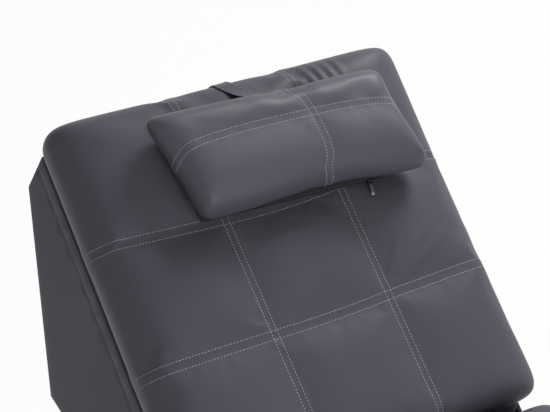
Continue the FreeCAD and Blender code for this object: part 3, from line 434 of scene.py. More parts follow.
class Slot(Enum):
    """The record's material slots, and the finish that each one gets here."""

    FAUX_LEATHER = FauxLeather("faux_leather", (0.083, 0.077, 0.098), 0.46)
    TIMBER = Wood("timber", (0.56, 0.42, 0.27), 0.6)
    PLYWOOD = Wood("plywood", (0.62, 0.48, 0.32), 0.55, 60.0)
    DUST_CLOTH = SpunCloth("dust_cloth", (0.020, 0.020, 0.022), 0.9)
    ZINC_STEEL = Metal("zinc_steel", (0.55, 0.56, 0.58), 0.3, 0.12, 0.12)
    WEIGHT_STEEL = Metal("weight_steel", (0.45, 0.45, 0.46), 0.38, 0.1, 0.1)
    FRAME_PAINT = Coating("frame_paint", (0.020, 0.020, 0.022), 0.42)
    LEG_CHROME = Metal("leg_chrome", (0.75, 0.76, 0.78), 0.07, 0.0, 0.05)
    BLACK_PLASTIC = Coating("black_plastic", (0.020, 0.020, 0.022), 0.5, 900.0, 0.00008)
    BOARD_GREEN = CircuitBoard("board_green", (0.02, 0.16, 0.07), 0.35)
    KEY_PLASTIC = Coating("key_plastic", (0.55, 0.55, 0.57), 0.45, 900.0, 0.00005)
    ZIP_METAL = Metal("zip_metal", (0.05, 0.05, 0.055), 0.32, 0.05, 0.1)

    @classmethod
    def of_nodes(cls) -> dict[str, "Slot"]:
        """The slot of every CAD node, as the record has it.

        Returns:
            The slots by node name.
        """
        named = {slot.value.name: slot for slot in cls}
        return {part["node"]: named[part["material_slot"]] for part in frame["record"]["subparts"]}


# Painted shade: a copy of the pads' faux leather whose colour and gloss are tuned so the upright side panels
# render at the shade they take under this lighting.
SIDE_LEATHER_PAINTED_SHADE = FauxLeather("side_leather", (0.086, 0.080, 0.103), 0.6, 0.08)
# Painted shade: a copy of the pads' faux leather with a darker colour, set to offset its higher gloss so the
# pillow's faces render at the brightness they take under this lighting; the highlight itself comes from the gloss.
PILLOW_LEATHER_PAINTED_SHADE = FauxLeather("pillow_leather", (0.078, 0.073, 0.095), 0.48, 0.36)
SEWING_THREAD = Thread("sewing_thread", (0.42, 0.42, 0.45), 0.75)
PULL_TIP = Metal("pull_tip", (0.16, 0.16, 0.17), 0.4, 0.05, 0.08)
KEY_PRINT = Coating("key_print", (0.045, 0.045, 0.05), 0.55)


class Palette:
    """Builds each finish once and hands it out."""

    def __init__(self) -> None:
        """Start with nothing built."""
        self.made: dict[str, bpy.types.Material] = {}

    def get(self, finish: Finish) -> bpy.types.Material:
        """The material of a finish."""
        if finish.name not in self.made:
            self.made[finish.name] = finish.build()
        return self.made[finish.name]


PALETTE = Palette()


def put_in_scene(name: str, data: bpy.types.ID) -> bpy.types.Object:
    """Link a new object to the scene.

    Args:
        name: its name.
        data: its mesh, lamp or camera.

    Returns:
        The object.
    """
    made = bpy.data.objects.new(name, data)
    bpy.context.scene.collection.objects.link(made)
    return made


def to_object(name: str, bm: bmesh.types.BMesh) -> bpy.types.Object:
    """Turn a bmesh into a smooth object.

    Args:
        name: the object's name.
        bm: the shape, which is used up.

    Returns:
        The object.
    """
    for face in bm.faces:
        face.smooth = True
    mesh = bpy.data.meshes.new(name)
    bm.to_mesh(mesh)
    bm.free()
    return put_in_scene(name, mesh)


@dataclass(frozen=True)
class Piece:
    """What a new piece is called, what it rides on, what it is made of and what it stands for."""

    name: str
    body: str
    slot: Slot
    nodes: tuple[str, ...] = ()
    finish: Optional[Finish] = None
    crisp: float = 32.0

    def make(self, bm: bmesh.types.BMesh, place: Optional[Matrix] = None,
             ride: bool = True) -> bpy.types.Object:
        """Turn a bmesh into the finished piece.

        Args:
            bm: the shape, which is used up.
            place: the frame that it was drawn in.
            ride: whether it rides on its body at once.

        Returns:
            The piece's object.
        """
        if place is not None:
            bmesh.ops.transform(bm, matrix=place, verts=bm.verts)
        piece = to_object(self.name, bm)
        piece.data.set_sharp_from_angle(angle=math.radians(self.crisp))
        return self.dress(piece, ride)

    def dress(self, piece: bpy.types.Object, ride: bool = True) -> bpy.types.Object:
        """Give an object its finish and its body, and hide the nodes that it stands for.

        Args:
            piece: the object.
            ride: whether it rides on its body at once.

        Returns:
            The same object.
        """
        piece.data.materials.clear()
        piece.data.materials.append(PALETTE.get(self.finish or self.slot.value))
        if self.nodes:
            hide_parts(*self.nodes)
        if ride:
            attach(piece, self.body)
        LOG.info("piece %s on %s", self.name, self.body)
        return piece


def joint(name: str) -> dict:
    """The record's joint of that name."""
    return next(each for each in frame["joints"] if each["name"] == name)


def clamp(value: float, low: float, high: float) -> float:
    """A number kept between two limits."""
    return min(max(value, low), high)


def smooth_step(value: float) -> float:
    """A soft ramp from 0 to 1."""
    share = clamp(value, 0.0, 1.0)
    return share * share * (3.0 - 2.0 * share)


def extent(node: str, place: Matrix) -> tuple[Vector, Vector]:
    """Corners of a node in a frame of one's own.

    Args:
        node: the CAD node.
        place: where that frame stands.

    Returns:
        The lowest and the highest corner.
    """
    back = place.inverted()
    points = [back @ vertex.co for vertex in frame["nodes"][node].data.vertices]
    low = Vector([min(point[axis] for point in points) for axis in range(3)])
    high = Vector([max(point[axis] for point in points) for axis in range(3)])
    return low, high


@dataclass(frozen=True)
class Section:
    """One hinged section and its frame: +y away from the hinge, +z out of the pad."""

    body: str
    place: Matrix


def hinged_sections() -> dict[str, Section]:
    """The three sections, placed by the record's joints.

    Returns:
        The sections by body name.
    """
    pivot = Vector(joint("back_recline")["pos_m"])
    knee = Vector(joint("leg_raise")["pos_m"])
    along = Vector(joint("pillow_slide")["axis"])
    lean = Matrix.Rotation(math.atan2(along.z, along.y), 4, "X")
    droop = Matrix.Rotation(math.radians(joint("leg_raise")["range_deg"][1]), 4, "X")
    about_face = Matrix.Rotation(math.pi, 4, "Z")
    places = {
        "backrest": Matrix.Translation(pivot) @ lean,
        "seat": Matrix.Translation(pivot) @ about_face,
        "legrest": Matrix.Translation(knee) @ droop @ about_face,
    }
    return {body: Section(body, place) for body, place in places.items()}


class Run(Enum):
    """Which way a seam runs."""

    ACROSS = 0
    LENGTHWISE = 1


def no_stray(_: float) -> float:
    """A seam that runs dead straight."""
    return 0.0


@dataclass(frozen=True)
class Seam:
    """A flat sewn band between two rows of stitches."""

    run: Run
    at: float
    band: float
    stop: float
    stray: Callable[[float], float] = no_stray

    def gap(self, point: Vector) -> float:
        """How far a point of the unsewn cover lies from the band's edge."""
        return abs(point[1 - self.run.value] - self.at) - self.band / 2


@dataclass(frozen=True)
class Needle:
    """One kind of stitch."""

    pitch: float = 0.0052
    length: float = 0.0039
    width: float = 0.0006
    height: float = 0.0005

    def sew(self, bm: bmesh.types.BMesh, path: Sequence[tuple[Vector, Vector]]) -> None:
        """Lay stitches along a path.

        Args:
            bm: takes the stitches.
            path: points on the cover with its outward direction there.
        """
        walked = [0.0]
        for (start, _), (end, _) in zip(path, path[1:]):
            walked.append(walked[-1] + (end - start).length)

        def point_at(distance: float) -> Vector:
            """The point that far along the path."""
            index = clamp(bisect_right(walked, distance) - 1, 0, len(path) - 2)
            span = max(walked[index + 1] - walked[index], HAIR)
            return path[index][0].lerp(path[index + 1][0], (distance - walked[index]) / span)

        for count in range(int((walked[-1] - self.length) / self.pitch) + 1):
            start = point_at(count * self.pitch)
            end = point_at(count * self.pitch + self.length)
            out = path[clamp(bisect_right(walked, count * self.pitch), 0, len(path) - 1)][1]
            heading = (end - start).normalized()
            side = out.cross(heading).normalized()
            turn = Matrix((heading, side, heading.cross(side))).transposed().to_4x4()
            size = Matrix.Diagonal(((end - start).length / 2, self.width, self.height, 1.0))
            matrix = Matrix.Translation((start + end) / 2) @ turn @ size
            bmesh.ops.create_icosphere(bm, subdivisions=1, radius=1.0, matrix=matrix)


@dataclass(frozen=True)
class Fold:
    """A soft fold in a cover: where it lies, how it runs, and its size."""

    across: float
    along: float
    heading: float
    length: float
    width: float
    height: float

    def lift(self, point: Vector) -> float:
        """How far the fold lifts the cover.

        Args:
            point: a point of the cover.

        Returns:
            The lift there.
        """
        offset = Vector((point.x - self.across, point.y - self.along))
        run = Vector((math.cos(math.radians(self.heading)), math.sin(math.radians(self.heading))))
        ahead = offset.dot(run) / self.length
        aside = (offset.x * run.y - offset.y * run.x) / self.width
        return self.height * (1.0 - aside * aside) * math.exp(-aside * aside - ahead * ahead)


def as_laid(point: Vector) -> Vector:
    """A cushion that keeps the shape it was laid in."""
    return point


def grid_marks(low: float, high: float, stops: Sequence[float], cell: float) -> list[float]:
    """Even marks that pass through every stop.

    Args:
        low: the first mark.
        high: the last mark.
        stops: marks that have to be there.
        cell: the spacing wanted.

    Returns:
        All the marks in order.
    """
    ends = [low, *sorted(stops), high]
    found = [low]
    for start, stop in zip(ends, ends[1:]):
        count = max(1, round((stop - start) / cell))
        found += [start + (stop - start) * (step + 1) / count for step in range(count)]
    return found


def grid(columns: int, rows: int, laid: Callable[[float, float], Vector]) -> bmesh.types.BMesh:
    """A grid of faces.

    Args:
        columns: how many cells lie across.
        rows: how many lie along.
        laid: gives a point's place from its shares across and along, each from 0 to 1.

    Returns:
        The grid as a bmesh.
    """
    bm = bmesh.new()
    bmesh.ops.create_grid(bm, x_segments=columns, y_segments=rows, size=0.5)
    for vertex in bm.verts:
        vertex.co = laid(vertex.co.x + 0.5, vertex.co.y + 0.5)
    return bm


@dataclass
class Cushion:
    """A sewn cushion: a box with rolled edges, drawn in at its seams and blown up by its filling."""

    piece: Piece
    place: Matrix
    low: Vector
    high: Vector
    roll: Vector
    seams: tuple[Seam, ...]
    depth: float
    reach: float
    under: float = 0.0
    foot: float = 0.0
    foot_height: float = 0.022
    pull: float = 0.0
    squareness: float = 3.2
    fullness: float = 2.4
    start_fill: float = 0.7
    swell: float = 0.006
    wall_swell: float = 0.0005
    edge_hold: float = 0.02
    ease_rounds: int = 4
    ease_from: float = 0.3
    pressure: float = 4.0
    slack: float = 0.01
    cell: float = 0.009
    wall_cuts: int = 9
    sewn_from: float = 0.1
    pucker: float = 0.0004
    pucker_scales: tuple[float, float] = (46.0, 97.0)
    pucker_reach: float = 0.03
    top_gain: float = 1.6
    top_loss: float = 0.2
    folds: tuple[Fold, ...] = ()
    needle: Needle = Needle()
    stitch_step: float = 0.004
    drop_from: float = 0.04
    drop_reach: float = 0.1
    fill: float = 0.7
    wall_run: float = 0.06
    warp: Callable[[Vector], Vector] = as_laid

    def seams_that(self, run: Run) -> list[Seam]:
        """The seams that run one way, in order."""
        return sorted((seam for seam in self.seams if seam.run is run), key=lambda seam: seam.at)

    def unrolled(self, point: Vector, axis: int) -> float:
        """A point's place along one axis, counted on over the edge and down the wall.

        Args:
            point: a point of the unsewn box.
            axis: 0 or 1.

        Returns:
            The place.
        """
        drop = min(self.high.z - point.z, self.wall_run)
        if abs(point[axis] - self.low[axis]) < HAIR:
            return point[axis] - drop
        return point[axis] + drop if abs(point[axis] - self.high[axis]) < HAIR else point[axis]

    def stray(self, point: Vector) -> Vector:
        """How far the sewing has shifted the cover at a point of the unsewn box.

        Args:
            point: the point before sewing.

        Returns:
            The shift, across and along.
        """
        shift = Vector((0.0, 0.0, 0.0))
        for run in Run:
            moved = 1 - run.value
            knots = [(self.low[moved], 0.0)]
            knots += [(seam.at, seam.stray(self.unrolled(point, run.value))) for seam in self.seams_that(run)]
            knots.append((self.high[moved], 0.0))
            for (start, from_shift), (end, to_shift) in zip(knots, knots[1:]):
                if start - HAIR <= point[moved] <= end + HAIR:
                    share = (point[moved] - start) / max(end - start, HAIR)
                    shift[moved] = from_shift + (to_shift - from_shift) * share
        return shift

    def lay(self, point: Vector) -> tuple[Vector, Vector]:
        """Where a point of the unsewn box lies on the rolled cushion.

        Args:
            point: a point on the box's faces.

        Returns:
            Its place and the outward direction there.
        """
        inner_low = self.low + Vector((self.roll.x, self.roll.y, self.under))
        inner_high = self.high - self.roll
        core = Vector([clamp(p, a, max(a, b)) for p, a, b in zip(point, inner_low, inner_high)])
        out = point - core
        radii = Vector((self.roll.x, self.roll.y, self.roll.z if out.z > 0 else max(self.under, HAIR)))
        unit = Vector([o / r for o, r in zip(out, radii)])
        share = max(abs(part) for part in unit)
        middle = (self.low + self.high) / 2
        half = (self.high - self.low) / 2
        spot = point.copy()
        normal = UP if point.z > middle.z else -UP
        if share > HAIR:
            power = self.squareness
            flat = (abs(unit.x) ** power + abs(unit.y) ** power) ** (1.0 / power)
            unit *= share / math.hypot(flat, unit.z)
            spot = core + Vector([u * r for u, r in zip(unit, radii)])
            normal = Vector([u / r for u, r in zip(unit, radii)]).normalized()
            tuck = clamp(1.0 - (point.z - self.low.z) / self.foot_height, 0.0, 1.0)
            spot -= Vector((unit.x, unit.y, 0.0)) * (self.foot * tuck * tuck * share)
        spot += self.stray(point)
        for axis in (0, 1):
            along = (point[1 - axis] - middle[1 - axis]) / half[1 - axis]
            aside = (point[axis] - middle[axis]) / half[axis]
            spot[axis] -= self.pull * (1.0 - along * along) * aside * abs(aside)
        return self.warp(spot), normal

    def freedom(self, point: Vector) -> float:
        """How free the cover is at a point of the unsewn box: 0 on a seam, 1 in the middle of a square.

        Args:
            point: the point before sewing.

        Returns:
            The share.
        """
        free = 1.0
        for seam in self.seams:
            wall = 1 - seam.run.value
            on_wall = min(abs(point[wall] - self.low[wall]), abs(point[wall] - self.high[wall])) < HAIR
            if not on_wall:
                share = clamp(seam.gap(point) / self.reach, 0.0, 1.0)
                free *= 1.0 - (1.0 - share) ** self.fullness
        return free

    def hold(self, point: Vector) -> float:
        """How strongly the seams draw the cover in: fully on top, less at the edges, not at the foot.

        Args:
            point: a point of the unsewn box.

        Returns:
            The share.
        """
        inward = min(min(point[axis] - self.low[axis], self.high[axis] - point[axis]) / self.roll[axis]
                     for axis in (0, 1))
        share = self.edge_hold + (1.0 - self.edge_hold) * smooth_step(inward) ** 2
        return share * smooth_step((point.z - self.low.z) / (self.high.z - self.low.z))

    def blank(self) -> bmesh.types.BMesh:
        """The unsewn box, cut along the seams and into a fine grid.

        Returns:
            The box as a bmesh.
        """
        stops = {run: [] for run in Run}
        for seam in self.seams:
            stops[seam.run] += [seam.at - seam.band / 2, seam.at, seam.at + seam.band / 2]
        across = grid_marks(self.low.x, self.high.x, stops[Run.LENGTHWISE], self.cell)
        along = grid_marks(self.low.y, self.high.y, stops[Run.ACROSS], self.cell)
        columns, rows = len(across) - 1, len(along) - 1

        def laid(column: float, row: float) -> Vector:
            """The point at those shares across and along."""
            return Vector((across[round(column * columns)], along[round(row * rows)], self.high.z))

        bm = grid(columns, rows, laid)
        lower = bmesh.ops.duplicate(bm, geom=bm.verts[:] + bm.edges[:] + bm.faces[:])["geom"]
        lower_verts = [item for item in lower if isinstance(item, bmesh.types.BMVert)]
        bmesh.ops.translate(bm, verts=lower_verts, vec=(0.0, 0.0, self.low.z - self.high.z))
        bmesh.ops.bridge_loops(bm, edges=[edge for edge in bm.edges if edge.is_boundary])
        walls = [edge for edge in bm.edges if abs(edge.verts[0].co.z - edge.verts[1].co.z) > HAIR]
        bmesh.ops.subdivide_edges(bm, edges=walls, cuts=self.wall_cuts)
        bmesh.ops.recalc_face_normals(bm, faces=bm.faces)
        return bm

    def cut_out(self) -> None:
        """Lay the cover in its first shape, and note where it is sewn down."""
        bm = self.blank()
        start_fill = self.start_fill
        sewn, self.caps, self.slack_spots = [], [], []
        bm.verts.ensure_lookup_table()
        for vertex in bm.verts:
            point = vertex.co.copy()
            spot, normal = self.lay(point)
            free, hold = self.freedom(point), self.hold(point)
            vertex.co = spot - normal * (self.depth * hold * (1.0 - free * start_fill))
            foot = point.z < self.low.z + self.foot_height / 3
            if foot or (free < HAIR and hold > self.sewn_from):
                sewn.append(vertex.index)
            elif free > self.ease_from:
                self.slack_spots.append(vertex.index)
            self.caps.append(self.wall_swell + (self.swell - self.wall_swell) * max(0.0, normal.z))
        self.object = to_object(self.piece.name, bm)
        self.object.vertex_groups.new(name="sewn").add(sewn, 1.0, "REPLACE")

    def start_filling(self) -> None:
        """Hand the cover to the cloth solver, blown up from inside and held at its seams."""
        cloth = self.object.modifiers.new("filling", "CLOTH")
        cloth.settings.quality = 5
        cloth.settings.use_pressure = True
        cloth.settings.uniform_pressure_force = self.pressure
        cloth.settings.vertex_group_mass = "sewn"
        cloth.settings.shrink_min = -self.slack
        cloth.settings.bending_stiffness = 2.0
        cloth.settings.effector_weights.gravity = 0.0
        cloth.collision_settings.use_collision = False
        cloth.point_cache.frame_start = 1
        cloth.point_cache.frame_end = FILLING_FRAMES

    def end_filling(self) -> None:
        """Take the solver's shape, with each point's movement capped, and ease its wrinkles."""
        graph = bpy.context.evaluated_depsgraph_get()
        blown = self.object.evaluated_get(graph).data
        moved = [vertex.co.copy() for vertex in blown.vertices]
        for vertex, spot, cap in zip(self.object.data.vertices, moved, self.caps):
            step = spot - vertex.co
            if step.length > cap:
                step *= cap / step.length
            vertex.co += step
        self.object.modifiers.clear()
        bm = bmesh.new()
        bm.from_mesh(self.object.data)
        bm.verts.ensure_lookup_table()
        slack = [bm.verts[index] for index in self.slack_spots]
        for _ in range(self.ease_rounds):
            bmesh.ops.smooth_vert(bm, verts=slack, factor=0.5,
                                  use_axis_x=True, use_axis_y=True, use_axis_z=True)
        bm.to_mesh(self.object.data)
        bm.free()

    def refine(self) -> None:
        """Subdivide the cover once, then press in its folds and puckers."""
        finer = self.object.modifiers.new("finer", "SUBSURF")
        finer.levels = finer.render_levels = 1
        graph = bpy.context.evaluated_depsgraph_get()
        mesh = bpy.data.meshes.new_from_object(self.object.evaluated_get(graph))
        self.object.modifiers.clear()
        self.object.data = mesh
        self.object.vertex_groups.clear()
        broad, fine = self.pucker_scales
        normals = [vertex.normal.copy() for vertex in mesh.vertices]
        for vertex, normal in zip(mesh.vertices, normals):
            facing = smooth_step(normal.z * self.top_gain - self.top_loss)
            if facing > 0.0:
                spot = vertex.co.copy()
                unsewn = spot - self.stray(spot)
                near = min(abs(seam.gap(unsewn)) for seam in self.seams)
                ripple = noise.noise(spot * broad) + 0.5 * noise.noise(spot * fine)
                lift = sum(fold.lift(spot) for fold in self.folds)
                lift += self.pucker * ripple * math.exp(-near / self.pucker_reach)
                vertex.co = spot + normal * (lift * facing)

    def route(self, seam: Seam, offset: float) -> list[Vector]:
        """Points of the unsewn box along one row of stitches.

        Args:
            seam: the seam.
            offset: how far the row lies from the seam's middle.

        Returns:
            The points in order, from wall to wall.
        """
        moving, step = seam.run.value, self.stitch_step
        low, high = self.low[moving], self.high[moving]
        climb = [self.low.z + seam.stop + step * count
                 for count in range(int((self.high.z - self.low.z - seam.stop) / step))]
        spots = [(low, height) for height in climb]
        spots += [(mark, self.high.z) for mark in grid_marks(low, high, (), step)]
        spots += [(high, height) for height in reversed(climb)]
        found = []
        for mark, height in spots:
            found.append(Vector((0.0, 0.0, height)))
            found[-1][moving], found[-1][1 - moving] = mark, seam.at + offset
        return found

    def on_cover(self, points: Sequence[Vector]) -> list[tuple[Vector, Vector]]:
        """Drop points of the unsewn box onto the finished cover.

        Args:
            points: points of the box.

        Returns:
            Points on the cover with its outward direction there.
        """
        found = []
        for point in points:
            spot, normal = self.lay(point)
            hit, facing, _, _ = self.tree.ray_cast(spot + normal * self.drop_from, -normal, self.drop_reach)
            if hit is not None:
                found.append((hit, facing))
        return found

    def sew(self) -> None:
        """Lay both rows of stitches of every seam."""
        self.tree = BVHTree.FromPolygons([vertex.co for vertex in self.object.data.vertices],
                                         [face.vertices for face in self.object.data.polygons])
        bm = bmesh.new()
        for seam in self.seams:
            for side in (-0.5, 0.5):
                self.needle.sew(bm, self.on_cover(self.route(seam, side * seam.band)))
        thread = Piece(self.piece.name + "_stitches", self.piece.body, self.piece.slot, (), SEWING_THREAD)
        thread.make(bm, self.place)

    def finish(self) -> None:
        """Refine, sew and place the cushion."""
        self.refine()
        self.sew()
        self.object.data.transform(self.place)
        self.object.data.name = self.piece.name
        self.piece.dress(self.object)


def fill_cushions(cushions: Sequence[Cushion]) -> None:
    """Blow up all the cushions in one run of the cloth solver.

    Args:
        cushions: the cushions, not yet cut out.
    """
    for cushion in cushions:
        cushion.cut_out()
    for cushion in cushions:
        cushion.start_filling()
    for step in range(1, FILLING_FRAMES + 1):
        bpy.context.scene.frame_set(step)
    for cushion in cushions:
        cushion.end_filling()
    bpy.context.scene.frame_set(1)
    for cushion in cushions:
        cushion.finish()


@dataclass
class QuiltedPads:
    """The three quilted pads, sewn into squares of one size."""

    sections: dict[str, Section]
    column: float = 0.1
    row_pitch: float = 0.192
    column_band: float = 0.010
    row_band: float = 0.014
    column_shift: float = 0.004
    column_slope: float = -0.021
    stitch_stop: float = 0.040
    edge_roll: float = 0.0606
    side_roll: float = 0.12
    trim: float = 0.002
    upper_bow: tuple[float, float] = (0.0042, 1.86)
    lower_bow: tuple[float, float] = (0.0024, 1.08)
    right_climb: float = 0.5
    seam_depth: float = 0.0065
    seam_reach: float = 0.085
    foot: float = 0.005
    pull: float = 0.001
    squareness: float = 6.0
    skew_from: float = 0.45
    skew_run: float = 0.2
    skew_shift: float = 0.003
    skew_slope: float = -0.03

    def skewed(self, point: Vector) -> Vector:
        """Shift the back's head end, which runs slightly askew."""
        share = smooth_step((point.y - self.skew_from) / self.skew_run)
        return point + Vector((0.0, share * (self.skew_shift + self.skew_slope * point.x), 0.0))

    def bowed(self, sag: float, left_climb: float, across: float) -> float:
        """The shift of a crosswise seam that sags between the columns and climbs outside them.

        Args:
            sag: how far it sags.
            left_climb: how steeply it climbs on the left.
            across: where on the seam.

        Returns:
            The shift.
        """
        share = across / self.column
        if share < -1.0:
            return sag * left_climb * (-share - 1.0)
        if share > 1.0:
            return sag * self.right_climb * (share - 1.0)
        return sag * (share * share - 1.0)

    def back_rows(self, middle: float) -> list[Seam]:
        """The two crosswise seams of the back.

        Args:
            middle: the pad's middle, along.

        Returns:
            The seams.
        """
        half = self.row_pitch / 2
        return [Seam(Run.ACROSS, middle + side * half, self.row_band, self.stitch_stop,
                     partial(self.bowed, *bow))
                for side, bow in ((1, self.upper_bow), (-1, self.lower_bow))]

    def columns(self, middle: float, skew: bool) -> list[Seam]:
        """The two lengthwise seams of a pad.

        Args:
            middle: the pad's middle, along.
            skew: whether they stray a little, as on the back.

        Returns:
            The seams.
        """
        def stray(along: float) -> float:
            """The seam's shift that far along."""
            return self.column_shift + self.column_slope * (along - middle) if skew else 0.0

        return [Seam(Run.LENGTHWISE, side * self.column, self.column_band, self.stitch_stop, stray)
                for side in (-1, 1)]

    def pad(self, body: str, rows: Sequence[float], folds: tuple[Fold, ...] = ()) -> Cushion:
        """One pad.

        Args:
            body: the section that it lies on.
            rows: where its crosswise seams run, from its middle.
            folds: soft folds in its cover.

        Returns:
            The cushion, ready to be filled.
        """
        node = body + "_pad"
        place = self.sections[body].place
        low, high = extent(node, place)
        low += Vector((self.trim, self.trim, 0.0))
        high -= Vector((self.trim, self.trim, 0.0))
        middle = (low.y + high.y) / 2
        on_back = body == "backrest"
        if on_back:
            across = self.back_rows(middle)
        else:
            across = [Seam(Run.ACROSS, middle + row, self.row_band, self.stitch_stop) for row in rows]
        seams = (*across, *self.columns(middle, on_back))
        return Cushion(
            Piece(body + "_quilt", body, Slot.FAUX_LEATHER, (node,)), place, low, high,
            Vector((self.side_roll, self.edge_roll, self.edge_roll)), seams, self.seam_depth, self.seam_reach,
            foot=self.foot, pull=self.pull, squareness=self.squareness, folds=folds,
            warp=self.skewed if on_back else as_laid)

    def all(self) -> list[Cushion]:
        """The three pads."""
        half = self.row_pitch / 2
        folds = (
            Fold(0.155, 0.288, 40.0, 0.045, 0.010, 0.0030),
            Fold(0.140, 0.300, 52.0, 0.040, 0.009, 0.0024),
            Fold(0.178, 0.282, 26.0, 0.040, 0.010, 0.0022),
            Fold(0.130, 0.618, -78.0, 0.022, 0.006, 0.0028),
            Fold(0.147, 0.622, -84.0, 0.024, 0.006, 0.0030),
            Fold(0.165, 0.620, -82.0, 0.020, 0.007, 0.0026),
            Fold(0.183, 0.624, -86.0, 0.022, 0.008, 0.0022),
            Fold(-0.095, 0.226, -55.0, 0.018, 0.007, 0.0018),
            Fold(-0.122, 0.268, 150.0, 0.030, 0.009, 0.0016),
            Fold(0.098, 0.075, -70.0, 0.035, 0.010, 0.0020),
        )
        return [self.pad("backrest", (), folds), self.pad("seat", (half, -half)), self.pad("legrest", (0.0,))]


def round_edges(bm: bmesh.types.BMesh, edges: Sequence[bmesh.types.BMEdge], width: float,
                segments: int = 2) -> None:
    """Round some edges of a bmesh.

    Args:
        bm: the bmesh.
        edges: the edges.
        width: how wide the rounding is.
        segments: how many facets it has.
    """
    bmesh.ops.bevel(bm, geom=edges, offset=width, offset_type="OFFSET", segments=segments, profile=0.5,
                    affect="EDGES", clamp_overlap=True, material=-1)


def soften(node: str, width: float, segments: int = 2,
           chosen: Callable[[bmesh.types.BMEdge], bool] = bool) -> bmesh.types.BMesh:
    """Copy a CAD node, merge its triangles and round its sharp edges.

    Args:
        node: the CAD node.
        width: how wide the rounding is.
        segments: how many facets it has.
        chosen: which of the sharp edges are rounded.

    Returns:
        The copy as a bmesh.
    """
    bm = bmesh.new()
    bm.from_mesh(frame["nodes"][node].data)
    bmesh.ops.remove_doubles(bm, verts=bm.verts, dist=HAIR)
    bmesh.ops.dissolve_limit(bm, angle_limit=FLAT_ANGLE, verts=bm.verts, edges=bm.edges)
    sharp = [edge for edge in bm.edges
             if edge.is_manifold and edge.calc_face_angle() > SHARP_ANGLE and chosen(edge)]
    round_edges(bm, sharp, width, segments)
    return bm


def slab(bm: bmesh.types.BMesh, low: Sequence[float], high: Sequence[float],
         matrix: Matrix = Matrix()) -> None:
    """Add a plain block between two corners.

    Args:
        bm: takes the block.
        low: its lowest corner.
        high: its highest corner.
        matrix: the frame that the corners are in.
    """
    middle = (Vector(low) + Vector(high)) / 2
    size = Matrix.Diagonal((*(Vector(high) - Vector(low)), 1.0))
    bmesh.ops.create_cube(bm, size=1.0, matrix=matrix @ Matrix.Translation(middle) @ size)


def cut(bm: bmesh.types.BMesh, spot: Vector, normal: Vector) -> None:
    """Cut a bmesh along a plane.

    Args:
        bm: the bmesh.
        spot: a point of the plane.
        normal: the direction square to it.
    """
    bmesh.ops.bisect_plane(bm, geom=bm.verts[:] + bm.edges[:] + bm.faces[:], dist=HAIR / 10,
                           plane_co=spot, plane_no=normal)


def slice_up(bm: bmesh.types.BMesh, axis: int, marks: Sequence[float]) -> None:
    """Cut a bmesh square to an axis at each mark.

    Args:
        bm: the bmesh.
        axis: 0, 1 or 2.
        marks: where to cut.
    """
    normal = Vector([float(number == axis) for number in range(3)])
    for mark in marks:
        cut(bm, normal * mark, normal)


def ribbon(path: Sequence[Vector], row: Callable[[int, float], Vector], columns: int) -> bmesh.types.BMesh:
    """Lay a grid along a path.

    Args:
        path: the path's points.
        row: gives the offset from a path point, by its number and the share across from 0 to 1.
        columns: how many cells lie across.

    Returns:
        The grid as a bmesh.
    """
    last = len(path) - 1

    def laid(across: float, along: float) -> Vector:
        """The point at those shares across and along."""
        number = round(along * last)
        return path[number] + row(number, across)

    bm = grid(columns, last, laid)
    bmesh.ops.remove_doubles(bm, verts=bm.verts, dist=HAIR)
    return bm


def piping(path: Sequence[Vector], radius: float) -> bmesh.types.BMesh:
    """A round bead along a path.

    Args:
        path: the path's points.
        radius: the bead's radius.

    Returns:
        The bead as a bmesh.
    """
    def ring(number: int, share: float) -> Vector:
        """A point of the bead's section at one path point."""
        heading = (path[min(number + 1, len(path) - 1)] - path[max(number - 1, 0)]).normalized()
        side = heading.cross(UP).normalized()
        turn = 2.0 * math.pi * share
        return (side * math.cos(turn) + heading.cross(side) * math.sin(turn)) * radius

    bm = ribbon(path, ring, 8)
    bmesh.ops.holes_fill(bm, edges=[edge for edge in bm.edges if edge.is_boundary], sides=0)
    bmesh.ops.recalc_face_normals(bm, faces=bm.faces)
    return bm


